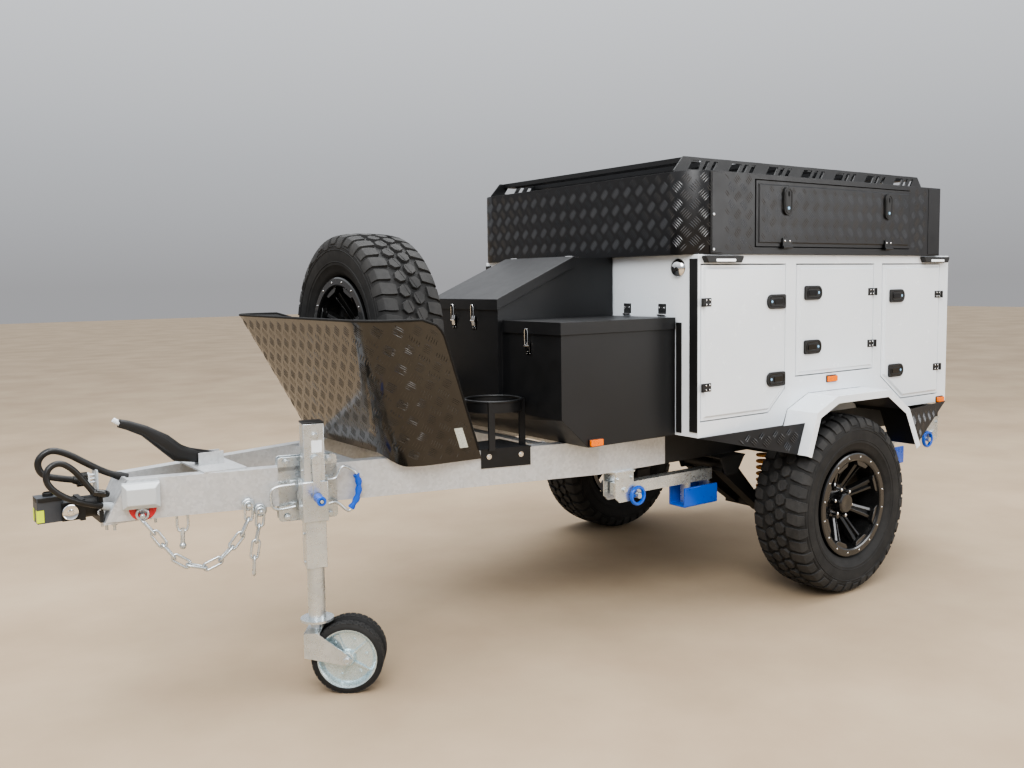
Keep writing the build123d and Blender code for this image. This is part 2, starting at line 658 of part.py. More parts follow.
def make_tyre():
    """Tyre carcass about the Z axis with a plain tread band."""
    with BuildPart() as tyre:
        half = TYRE_W / 2
        with BuildSketch(Plane.XZ):
            with BuildLine():
                Polyline(
                    (RIM_FLANGE_R + 1, half - 34), (RIM_FLANGE_R + 26, half - 8), (RIM_FLANGE_R + 84, half),
                    (TYRE_R - 52, half - 6), (TYRE_R - 8, half - 26), (TYRE_R, half - 44),
                    (TYRE_R, -half + 44), (TYRE_R - 8, -half + 26), (TYRE_R - 52, -half + 6),
                    (RIM_FLANGE_R + 84, -half), (RIM_FLANGE_R + 26, -half + 8), (RIM_FLANGE_R + 1, -half + 34),
                    close=True,
                )
            make_face()
        revolve(axis=Axis.Z)
    return tyre.part


rim = make_rim()
tyre = make_tyre()
WHEEL_PLACES = [
    ("left", Location((AXLE_X, -TRACK_HALF, TYRE_R), (90, 0, 0))),
    ("right", Location((AXLE_X, TRACK_HALF, TYRE_R), (-90, 0, 0))),
    ("spare", Location((-870, 0, 1212), (0, -90, 0))),
]
for name, place in WHEEL_PLACES:
    save(place * rim, f"rim_{name}")
    save(place * tyre, f"tyre_{name}")

# Spare wheel carrier: post on a cross-member with a face plate behind the rim
with BuildPart() as spare_carrier:
    with Locations((-700, 0, RAIL_TOP + 5)):
        Box(110, 690, 10)
    with Locations((-700, 0, (RAIL_TOP + 1270) / 2)):
        Box(60, 60, 1270 - RAIL_TOP)
    with Locations((-720, 0, 1212)):
        Cylinder(45, 39, rotation=(0, 90, 0))
save(spare_carrier.part, "spare_carrier")

# Suspension: trailing arms, stub axles, coil springs and dampers
with BuildPart() as suspension_arms:
    with BuildSketch(side_plane(560)):
        with BuildLine():
            Polyline(
                (ARM_PIVOT[0] - 34, ARM_PIVOT[1] - 22), (ARM_PIVOT[0] - 20, ARM_PIVOT[1] + 30),
                (ARM_PIVOT[0] + 40, ARM_PIVOT[1] + 20), (SPRING["x"] - 90, SPRING["z0"] - 12),
                (SPRING["x"] + 80, SPRING["z0"] - 12), (AXLE_X + 60, TYRE_R + 30),
                (AXLE_X + 60, TYRE_R - 50), (AXLE_X - 60, TYRE_R - 62), (SPRING["x"] - 60, SPRING["z0"] - 90),
                close=True,
            )
        make_face()
    extrude(amount=-60)
    with BuildSketch(side_plane(380)):
        with BuildLine():
            Polyline(
                (ARM_PIVOT[0] - 30, ARM_PIVOT[1] - 26), (ARM_PIVOT[0] + 30, ARM_PIVOT[1] + 26),
                (SPRING["x"], SPRING["z0"] - 30), (SPRING["x"] - 20, SPRING["z0"] - 90),
                close=True,
            )
        make_face()
    extrude(amount=-50)
    with Locations((SPRING["x"] + 20, -435, SPRING["z0"] - 62)):
        Box(90, 260, 56)
    with Locations((ARM_PIVOT[0], -449, ARM_PIVOT[1])):
        Cylinder(30, 254, rotation=(90, 0, 0))
    with Locations((AXLE_X, -580, TYRE_R)):
        Cylinder(32, 80, rotation=(90, 0, 0))
    with Locations((SPRING["x"], -SPRING["y"], SPRING["z0"] - 10)):
        Cylinder(66, 16)
    mirror(about=Plane.XZ)
save(suspension_arms.part, "suspension_arms")

with BuildPart() as coil_springs:
    coil_pitch = (SPRING["z1"] - SPRING["z0"] - 2 * SPRING["wire"]) / SPRING["turns"]
    for i in range(SPRING["turns"] + 1):
        z = SPRING["z0"] + SPRING["wire"] + i * coil_pitch
        with Locations((SPRING["x"], -SPRING["y"], z)):
            Torus(SPRING["r"], SPRING["wire"])
    with Locations((SPRING["x"], -SPRING["y"], (SPRING["z0"] + SPRING["z1"]) / 2)):
        Cylinder(SPRING["r"] - 2, SPRING["z1"] - SPRING["z0"])
        Cylinder(SPRING["r"] - 8, SPRING["z1"] - SPRING["z0"], mode=Mode.SUBTRACT)
    mirror(about=Plane.XZ)
save(coil_springs.part, "coil_springs")

# Drop-down stands: brackets under the rails and under the rear beam, square legs with channel-shaped shoes
STANDS = {
    "front": dict(x=10.0, y=497.0, z=562.0, top=RAIL_TOP - RAIL_H, turn=1, reach=535.0),
    "rear": dict(x=1975.0, y=680.0, z=620.0, top=RAIL_TOP - 80, turn=-1, reach=462.0),
}
SHOE_LEN = 200.0
with BuildPart() as stand_brackets:
    for stand in STANDS.values():
        x, y, z, top = stand["x"], stand["y"], stand["z"], stand["top"]
        for s in (-1, 1):
            with Locations((x, s * y, top - 4)):
                Box(110, 84, 8)
            for side in (-1, 1):
                with BuildSketch(side_plane(-s * y - side * 35)):
                    with BuildLine():
                        Polyline(
                            (x - 50, top), (x - 50, z - 30), (x - 28, z - 50), (x + 28, z - 50), (x + 50, z - 30),
                            (x + 50, top),
                            close=True,
                        )
                    make_face()
                extrude(amount=3, both=True)
save(stand_brackets.part, "stand_brackets")

for name, stand in STANDS.items():
    x, y, z, turn, reach = (stand[key] for key in ("x", "y", "z", "turn", "reach"))
    with BuildPart() as leg:
        with Locations((x + turn * (reach - 25) / 2, -y, z)):
            Box(reach + 25, 50, 50)
        with Locations((x, -y, z)):
            Cylinder(12, 62, rotation=(90, 0, 0))
        with Locations((x + turn * (reach + 8 - SHOE_LEN / 2), -y, z - 82)):
            Box(SHOE_LEN, 90, 80)
        with Locations((x + turn * (reach + 8 - SHOE_LEN / 2), -y, z - 82 + 4)):
            Box(SHOE_LEN, 78, 80, mode=Mode.SUBTRACT)
        for dx in (30.0, 150.0):
            with Locations((x + turn * (reach + 8 - dx), -y, z - 72)):
                Box(12, 50, 94)
    save(leg.part, f"stand_leg_left_{name}")
    save(mirrored(leg.part), f"stand_leg_right_{name}")

# Jockey stand: clamp on the left rail, swivelling tube, sliding inner tube, caster and twin wheels
JOCKEY_REACH = (rail_y(JOCKEY_X) - abs(JOCKEY_Y)) * -cos(radians(RAIL_ANGLE))
JOCKEY_SHIFT = (JOCKEY_Y + rail_y(JOCKEY_X)) * RAIL_DIR[1]

with BuildPart() as jockey_bracket:
    with BuildSketch(rail_face(JOCKEY_X, JOCKEY_PIVOT_Z)):
        with Locations((JOCKEY_SHIFT, 10)):
            RectangleRounded(200, 150, 12)
    extrude(amount=8)
    with BuildSketch(rail_face(JOCKEY_X, JOCKEY_PIVOT_Z)):
        with Locations((JOCKEY_SHIFT, 0)):
            Circle(34)
    extrude(amount=JOCKEY_REACH - 46.3)
save(jockey_bracket.part, "jockey_bracket")

with BuildPart() as jockey_tube:
    with Locations((JOCKEY_X, JOCKEY_Y, (JOCKEY_TOP_Z + JOCKEY_TUBE_END_Z) / 2)):
        Cylinder(38, JOCKEY_TOP_Z - JOCKEY_TUBE_END_Z)
    with Locations((JOCKEY_X, JOCKEY_Y, JOCKEY_PIVOT_Z)):
        Cylinder(46, 140)
    with Locations((JOCKEY_X, JOCKEY_Y, (JOCKEY_TOP_Z + JOCKEY_TUBE_END_Z) / 2 - 6)):
        Cylinder(33, JOCKEY_TOP_Z - JOCKEY_TUBE_END_Z, mode=Mode.SUBTRACT)
save(jockey_tube.part, "jockey_tube")

with BuildPart() as jockey_inner:
    with Locations((JOCKEY_X, JOCKEY_Y, (JOCKEY_INNER_END_Z + 720) / 2)):
        Cylinder(30, 720 - JOCKEY_INNER_END_Z)
    with Locations((JOCKEY_X, JOCKEY_Y, JOCKEY_INNER_END_Z)):
        Cylinder(58, 8)
save(jockey_inner.part, "jockey_inner")

caster = Plane(
    origin=(JOCKEY_X, JOCKEY_Y, 0), x_dir=(cos(radians(CASTER_ANGLE)), sin(radians(CASTER_ANGLE)), 0), z_dir=(0, 0, 1)
)
FORK_TOP_Z = 222.0
fork_side = JOCKEY_WHEEL_PITCH / 2 + JOCKEY_WHEEL_W / 2 + 8
with BuildPart() as jockey_fork:
    with BuildSketch(caster.offset(FORK_TOP_Z)):
        Circle(22)
    extrude(amount=JOCKEY_INNER_END_Z - 4 - FORK_TOP_Z)
    with BuildSketch(caster.offset(JOCKEY_WHEEL_R + 10)):
        with Locations((-32, 0)):
            Rectangle(6, 2 * fork_side)
    extrude(amount=FORK_TOP_Z - JOCKEY_WHEEL_R - 10)
    with BuildSketch(caster.offset(FORK_TOP_Z - 6)):
        with Locations((-8, 0)):
            Rectangle(54, 2 * fork_side)
    extrude(amount=6)
    for s in (-1, 1):
        arm = Plane(
            origin=caster.from_local_coords((0, s * fork_side, 0)), x_dir=caster.x_dir, z_dir=-caster.y_dir
        )
        with BuildSketch(arm):
            with BuildLine():
                Polyline(
                    (-35, FORK_TOP_Z), (-35, JOCKEY_WHEEL_R + 10), (CASTER_TRAIL - 6, JOCKEY_WHEEL_R - 20),
                    (CASTER_TRAIL + 18, JOCKEY_WHEEL_R), (CASTER_TRAIL, JOCKEY_WHEEL_R + 20), (10, FORK_TOP_Z),
                    close=True,
                )
            make_face()
        extrude(amount=2.5, both=True)
    with BuildSketch(
        Plane(origin=caster.from_local_coords((CASTER_TRAIL, 0, JOCKEY_WHEEL_R)), x_dir=caster.x_dir, z_dir=caster.y_dir)
    ):
        Circle(8)
    extrude(amount=fork_side + 8, both=True)
save(jockey_fork.part, "jockey_fork")

with BuildPart() as jockey_wheels:
    for s in (-1, 1):
        hub = Plane(
            origin=caster.from_local_coords((CASTER_TRAIL, s * JOCKEY_WHEEL_PITCH / 2, JOCKEY_WHEEL_R)),
            x_dir=caster.x_dir,
            z_dir=caster.y_dir,
        )
        with BuildSketch(hub):
            Circle(JOCKEY_WHEEL_R)
            Circle(8.5, mode=Mode.SUBTRACT)
        extrude(amount=JOCKEY_WHEEL_W / 2, both=True)
    with BuildSketch(
        Plane(origin=caster.from_local_coords((CASTER_TRAIL, 0, JOCKEY_WHEEL_R)), x_dir=caster.x_dir, z_dir=caster.y_dir)
    ):
        Circle(20)
        Circle(8.5, mode=Mode.SUBTRACT)
    extrude(amount=JOCKEY_WHEEL_PITCH / 2, both=True)
save(jockey_wheels.part, "jockey_wheels")

# Hand brake lever, pivoted between two cheeks on the drawbar
with BuildPart() as brake_lever:
    with BuildSketch(side_plane(11)):
        with BuildLine():
            Polyline(
                (-1497, 804), (-1530, 798), (-1630, 812), (-1690, 884), (-1812, 945), (-1820, 970), (-1740, 936),
                (-1668, 896), (-1590, 850), (-1505, 828),
                close=True,
            )
        make_face()
    extrude(amount=-22)
    with Locations((BRAKE_PIVOT[0], 0, BRAKE_PIVOT[1])):
        Cylinder(8, 38, rotation=(90, 0, 0))
save(brake_lever.part, "brake_lever")

# Coupling: bearing housing on the nose, rolling fork and pitching block with the pin's bore
COUPLING_Z = 690.0
BLOCK_X = -2050.0
KNUCKLE_X = -1996.0
with BuildPart() as coupling_base:
    with Locations((NOSE_X - 6, 0, COUPLING_Z)):
        Box(12, 120, 100)
    with Locations((NOSE_X - 32, 0, COUPLING_Z)):
        Cylinder(36, 40, rotation=(0, 90, 0))
        Cylinder(20.5, 40, rotation=(0, 90, 0), mode=Mode.SUBTRACT)
save(coupling_base.part, "coupling_base")
with BuildPart() as coupling_fork:
    with Locations((NOSE_X - 37, 0, COUPLING_Z)):
        Cylinder(20, 46, rotation=(0, 90, 0))
    with Locations((-1956, 0, COUPLING_Z)):
        Box(16, 104, 70)
    for s in (-1, 1):
        with Locations((-1990, s * 46, COUPLING_Z)):
            Box(58, 12, 60)
        with Locations((KNUCKLE_X, s * 46, COUPLING_Z)):
            Cylinder(10.5, 12, rotation=(90, 0, 0), mode=Mode.SUBTRACT)
save(coupling_fork.part, "coupling_fork")
with BuildPart() as coupling_block:
    with Locations((BLOCK_X, 0, COUPLING_Z + 10)):
        Box(80, 66, 84)
    with Locations((-2000, 0, COUPLING_Z)):
        Box(34, 66, 44)
    with Locations((KNUCKLE_X, 0, COUPLING_Z)):
        Cylinder(10, 112, rotation=(90, 0, 0))
    for s in (-1, 1):
        with Locations((KNUCKLE_X, s * 60, COUPLING_Z)):
            Cylinder(24, 8, rotation=(90, 0, 0))
    with Locations((BLOCK_X, 0, COUPLING_Z + 10)):
        Cylinder(12.75, 84, mode=Mode.SUBTRACT)
save(coupling_block.part, "coupling_block")

# Lamps: white-lensed camping lamps, amber side markers, tail lamps
with BuildPart() as lamps:
    for s in (-1, 1):
        for x, w in ((352.0, 224.0), (1905.0, 224.0)):
            with Locations((x, s * (BODY_HALF + 12), BODY_Z1 - 20)):
                Box(w, 24, 26)
save(lamps.part, "camp_lamps")
with BuildPart() as tail_lamps:
    for s in (-1, 1):
        with Locations((BODY_REAR_X + 12, s * 672, 960)):
            Box(24, 96, 220)
save(tail_lamps.part, "tail_lamps")
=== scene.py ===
"""Look of the off-road camper trailer: finishes, treads, tread plate, wheels, chain, conduits and fittings.

Metres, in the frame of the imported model: +X to the rear, -Y to the left side, +Z up, ground at Z = 0.
"""
import math

import bmesh
import bpy
from mathutils import Matrix, Vector


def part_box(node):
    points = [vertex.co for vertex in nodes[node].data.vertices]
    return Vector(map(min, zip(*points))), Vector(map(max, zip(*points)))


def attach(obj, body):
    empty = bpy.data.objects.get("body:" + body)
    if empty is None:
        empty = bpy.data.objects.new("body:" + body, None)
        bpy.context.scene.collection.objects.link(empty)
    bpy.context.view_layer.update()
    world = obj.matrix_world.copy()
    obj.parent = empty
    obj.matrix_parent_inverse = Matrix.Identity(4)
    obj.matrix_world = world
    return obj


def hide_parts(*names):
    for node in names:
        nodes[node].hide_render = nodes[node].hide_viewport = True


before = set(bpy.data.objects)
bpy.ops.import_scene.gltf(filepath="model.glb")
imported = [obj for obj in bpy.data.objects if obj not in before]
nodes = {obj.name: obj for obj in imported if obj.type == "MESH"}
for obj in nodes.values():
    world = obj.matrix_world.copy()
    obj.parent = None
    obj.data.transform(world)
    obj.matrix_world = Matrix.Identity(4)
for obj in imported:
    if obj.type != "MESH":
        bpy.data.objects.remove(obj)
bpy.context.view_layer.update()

X_AXIS, Y_AXIS, Z_AXIS = Vector((1, 0, 0)), Vector((0, 1, 0)), Vector((0, 0, 1))
SIDES = (("left", -1), ("right", 1))

# Camera: the photograph's place, direction and lens
CAMERA_AT = Vector((-2.6478, -3.4157, 1.4197))
CAMERA_YAW, CAMERA_PITCH, CAMERA_ROLL = 0.62904, -0.08552, -0.01422
FOCAL_PIXELS = 964.89
CENTRE_ROW = 364.09
FRAME_W, FRAME_H = 1024, 768
SENSOR_WIDTH = 36


def make_camera():
    cy, sy = math.cos(CAMERA_YAW), math.sin(CAMERA_YAW)
    cp, sp = math.cos(CAMERA_PITCH), math.sin(CAMERA_PITCH)
    cr, sr = math.cos(CAMERA_ROLL), math.sin(CAMERA_ROLL)
    ahead = Vector((sy * cp, cy * cp, sp))
    right = Vector((cy, -sy, 0))
    up = right.cross(ahead)
    right, up = cr * right + sr * up, cr * up - sr * right
    data = bpy.data.cameras.new("camera")
    data.sensor_width = SENSOR_WIDTH
    data.lens = FOCAL_PIXELS / FRAME_W * SENSOR_WIDTH
    data.shift_y = (CENTRE_ROW - FRAME_H / 2) / FRAME_W
    data.clip_end = 200
    camera = bpy.data.objects.new("camera", data)
    turn = Matrix((right, up, -ahead)).transposed().to_4x4()
    camera.matrix_world = Matrix.Translation(CAMERA_AT) @ turn
    bpy.context.scene.collection.objects.link(camera)
    bpy.context.scene.camera = camera


# Materials
def new_material(name):
    mat = bpy.data.materials.new(name)
    mat.use_nodes = True
    tree = mat.node_tree
    shader = tree.nodes["Principled BSDF"]
    return mat, tree, shader


def set_inputs(node, **values):
    """Sets a node's inputs by name, with an underscore for a space."""
    for name, value in values.items():
        node.inputs[name.replace("_", " ")].default_value = value


def noise(tree, scale, detail=4.0, rough=0.55):
    """Noise over the object's own coordinates."""
    place = tree.nodes.new("ShaderNodeTexCoord")
    field = tree.nodes.new("ShaderNodeTexNoise")
    set_inputs(field, Scale=scale, Detail=detail, Roughness=rough)
    tree.links.new(place.outputs["Object"], field.inputs["Vector"])
    return field.outputs["Fac"]


def ramp(tree, source, stops):
    """Colour ramp fed by source; stops are (position, colour)."""
    node = tree.nodes.new("ShaderNodeValToRGB")
    while len(node.color_ramp.elements) < len(stops):
        node.color_ramp.elements.new(0.5)
    for element, (at, colour) in zip(node.color_ramp.elements, stops):
        element.position = at
        element.color = (*colour, 1)
    tree.links.new(source, node.inputs["Fac"])
    return node.outputs["Color"]


def bump(tree, shader, height, strength, distance):
    node = tree.nodes.new("ShaderNodeBump")
    set_inputs(node, Strength=strength, Distance=distance)
    tree.links.new(height, node.inputs["Height"])
    tree.links.new(node.outputs["Normal"], shader.inputs["Normal"])


def grey(value):
    return (value, value, value)


def paint(name, dark, light, rough, grain=900.0, grain_depth=0.00008, coat=0.0, metal=0.0, blotch=3.0):
    """A painted or plated surface: slow colour drift, uneven gloss and a fine orange peel."""
    mat, tree, shader = new_material(name)
    drift = noise(tree, blotch, 6.0, 0.6)
    tree.links.new(ramp(tree, drift, [(0.3, dark), (0.7, light)]), shader.inputs["Base Color"])
    wear = noise(tree, blotch * 4, 5.0, 0.65)
    tree.links.new(ramp(tree, wear, [(0.3, grey(rough[0])), (0.75, grey(rough[1]))]),
                   shader.inputs["Roughness"])
    set_inputs(shader, Metallic=metal, Coat_Weight=coat, Coat_Roughness=0.12)
    bump(tree, shader, noise(tree, grain, 2.0), 0.25, grain_depth)
    return mat


def galvanised():
    """Hot-dip zinc: pale, with soft spangle and cloudy patches."""
    mat, tree, shader = new_material("galvanised_steel")
    place = tree.nodes.new("ShaderNodeTexCoord")
    spangle = tree.nodes.new("ShaderNodeTexVoronoi")
    set_inputs(spangle, Scale=95)
    tree.links.new(place.outputs["Object"], spangle.inputs["Vector"])
    cells = ramp(tree, spangle.outputs["Color"], [(0.2, grey(0.60)), (0.8, grey(0.68))])
    clouds = ramp(tree, noise(tree, 5.0, 7.0, 0.65), [(0.3, (0.90, 0.92, 0.94)), (0.7, (0.97, 0.99, 1.0))])
    mix = tree.nodes.new("ShaderNodeMix")
    mix.data_type = "RGBA"
    mix.blend_type = "MULTIPLY"
    set_inputs(mix, Factor=1.0)
    tree.links.new(cells, mix.inputs["A"])
    tree.links.new(clouds, mix.inputs["B"])
    tree.links.new(mix.outputs["Result"], shader.inputs["Base Color"])
    patches = noise(tree, 30.0, 5.0)
    tree.links.new(ramp(tree, patches, [(0.3, grey(0.34)), (0.75, grey(0.52))]), shader.inputs["Roughness"])
    set_inputs(shader, Metallic=0.55)
    bump(tree, shader, noise(tree, 160.0, 3.0), 0.3, 0.0002)
    return mat


def rubber(name, dark, light):
    mat, tree, shader = new_material(name)
    dust = noise(tree, 9.0, 8.0, 0.7)
    tree.links.new(ramp(tree, dust, [(0.35, grey(dark)), (0.75, (light, light * 0.98, light * 0.95))]),
                   shader.inputs["Base Color"])
    set_inputs(shader, Roughness=0.72, Specular_IOR_Level=0.35)
    bump(tree, shader, noise(tree, 700.0, 3.0), 0.35, 0.0003)
    return mat


def lens(name, colour, glow):
    """Moulded lamp plastic over a reflector. Its glow is emitted light: the lamps' own light, and a painted
    glow on the plain reflectors.
    """
    mat, tree, shader = new_material(name)
    prisms = noise(tree, 260.0, 1.0)
    low = tuple(c * 0.72 for c in colour)
    tree.links.new(ramp(tree, prisms, [(0.4, low), (0.62, colour)]), shader.inputs["Base Color"])
    set_inputs(shader, Roughness=0.16, Coat_Weight=0.6, Coat_Roughness=0.05,
               Emission_Color=(*colour, 1), Emission_Strength=glow)
    bump(tree, shader, prisms, 0.3, 0.0005)
    return mat


MATS = {
    "galvanised": galvanised(),
    "zinc": paint("bright_zinc", (0.52, 0.56, 0.58), (0.70, 0.74, 0.76), (0.22, 0.38), metal=0.85,
                  blotch=12.0),
    "white": paint("white_gloss_paint", (0.80, 0.845, 0.885), (0.84, 0.88, 0.915), (0.20, 0.30), 500.0,
                   coat=0.4),
    "frame_black": paint("black_chassis_paint", grey(0.006), grey(0.012), (0.38, 0.55)),
    "satin": paint("black_satin_powder", (0.006, 0.0065, 0.007), (0.010, 0.0105, 0.012), (0.40, 0.50), 1400.0,
                   0.00012),
    "plate": paint("black_plate_gloss", (0.004, 0.004, 0.005), (0.007, 0.007, 0.008), (0.34, 0.46), 700.0),
    # The bar tops are lighter than the black plate: a painted highlight along the bars.
    "bars": paint("bar_tops_painted_highlight", (0.030, 0.032, 0.036), (0.050, 0.053, 0.058), (0.14, 0.24), 700.0,
                  coat=0.5),
    "guard_plate": paint("smoked_plate_gloss", (0.010, 0.009, 0.008), (0.020, 0.018, 0.015), (0.10, 0.2),
                         600.0, coat=0.7),
    "rim": paint("black_rim_lacquer", grey(0.008), grey(0.013), (0.16, 0.26), 800.0, coat=0.6),
    "chrome": paint("chrome_plate", grey(0.72), grey(0.84), (0.06, 0.16), metal=1.0, blotch=20.0),
    "plastic": paint("black_moulded_plastic", grey(0.008), grey(0.014), (0.42, 0.55), 1500.0, 0.0002),
    "blue": paint("blue_plastic_grip", (0.006, 0.085, 0.52), (0.010, 0.12, 0.62), (0.24, 0.36), 900.0,
                  coat=0.2),
    "gold": paint("gold_spring_lacquer", (0.50, 0.21, 0.035), (0.62, 0.28, 0.05), (0.2, 0.36), metal=0.35,
                  blotch=15.0),
    "red": paint("red_enamel", (0.52, 0.012, 0.022), (0.62, 0.02, 0.03), (0.22, 0.34), coat=0.4),
    "lime": paint("lime_strip", (0.62, 0.78, 0.02), (0.70, 0.85, 0.05), (0.3, 0.4)),
    "grey_block": paint("grey_cast_block", (0.045, 0.05, 0.058), (0.07, 0.075, 0.085), (0.4, 0.6), 400.0,
                        0.0003),
    "pale_plastic": paint("pale_grey_plastic", (0.42, 0.46, 0.48), (0.5, 0.54, 0.56), (0.35, 0.5)),
    "tyre": rubber("tyre_rubber", 0.014, 0.034),
    "tread": rubber("tread_rubber", 0.024, 0.055),
    "seal": rubber("black_seal", 0.008, 0.016),
    "amber": lens("amber_lens", (1.0, 0.20, 0.0), 0.12),
    "red_lens": lens("red_lens", (0.5, 0.01, 0.01), 0.05),
    "glossy_black": paint("glossy_black_plastic", grey(0.006), grey(0.012), (0.08, 0.16), coat=0.5),
    "conduit": paint("black_conduit", grey(0.010), grey(0.020), (0.30, 0.46), 1200.0, 0.0002),
    "cover_grey": paint("cover_grey_paint", (0.52, 0.55, 0.56), (0.60, 0.63, 0.64), (0.34, 0.5), metal=0.2),
    "blue_zinc": paint("blued_zinc", (0.50, 0.62, 0.66), (0.66, 0.76, 0.79), (0.20, 0.36), metal=0.75,
                       blotch=18.0),
    "dot_blue": paint("pale_blue_dot", (0.30, 0.55, 0.80), (0.34, 0.60, 0.85), (0.3, 0.4)),
    "led": lens("led_strip", (0.85, 0.87, 0.88), 0.6),
    # The stone guard's reflectors are not lamps: their faint emission is a painted glow.
    "reflector": lens("pale_reflector_painted_glow", (0.62, 0.66, 0.60), 0.1),
}


# Outlines, directions and lines
def rectangle(half_width, half_height):
    return [(-half_width, -half_height), (half_width, -half_height), (half_width, half_height),
            (-half_width, half_height)]


def rounded(half_width, half_height, radius, steps=5):
    """A rectangle with round corners."""
    outline = []
    for quarter, (a, b) in enumerate(((1, -1), (1, 1), (-1, 1), (-1, -1))):
        for k in range(steps + 1):
            angle = math.pi / 2 * (quarter - 1 + k / steps)
            outline.append((a * (half_width - radius) + radius * math.cos(angle),
                            b * (half_height - radius) + radius * math.sin(angle)))
    return outline


def turned(axis, angle):
    """A direction across the axis, at an angle round it."""
    side = axis.orthogonal().normalized()
    return side * math.cos(angle) + axis.cross(side) * math.sin(angle)


def rays(axis, count, shift=0.0):
    """Directions across the axis, evenly spaced round it."""
    return [turned(axis, 2 * math.pi * (i + shift) / count) for i in range(count)]


def lengths_along(points):
    """Distance of each point from the first, along the line."""
    lengths = [0.0]
    for a, b in zip(points, points[1:]):
        lengths.append(lengths[-1] + (b - a).length)
    return lengths


def span_at(lengths, goal):
    """Number of the span that a distance along the line falls in."""
    return max(n for n, done in enumerate(lengths[:-1]) if done <= goal)


def smooth_line(points, steps=8):
    """Points of a smooth line through the given ones."""
    line = []
    for i in range(len(points) - 1):
        p0, p1, p2, p3 = (Vector(points[min(max(k, 0), len(points) - 1)]) for k in (i - 1, i, i + 1, i + 2))
        for step in range(steps):
            t = step / steps
            line.append(0.5 * (2 * p1 + (p2 - p0) * t + (2 * p0 - 5 * p1 + 4 * p2 - p3) * t ** 2
                               + (3 * p1 - p0 - 3 * p2 + p3) * t ** 3))
    return line + [Vector(points[-1])]


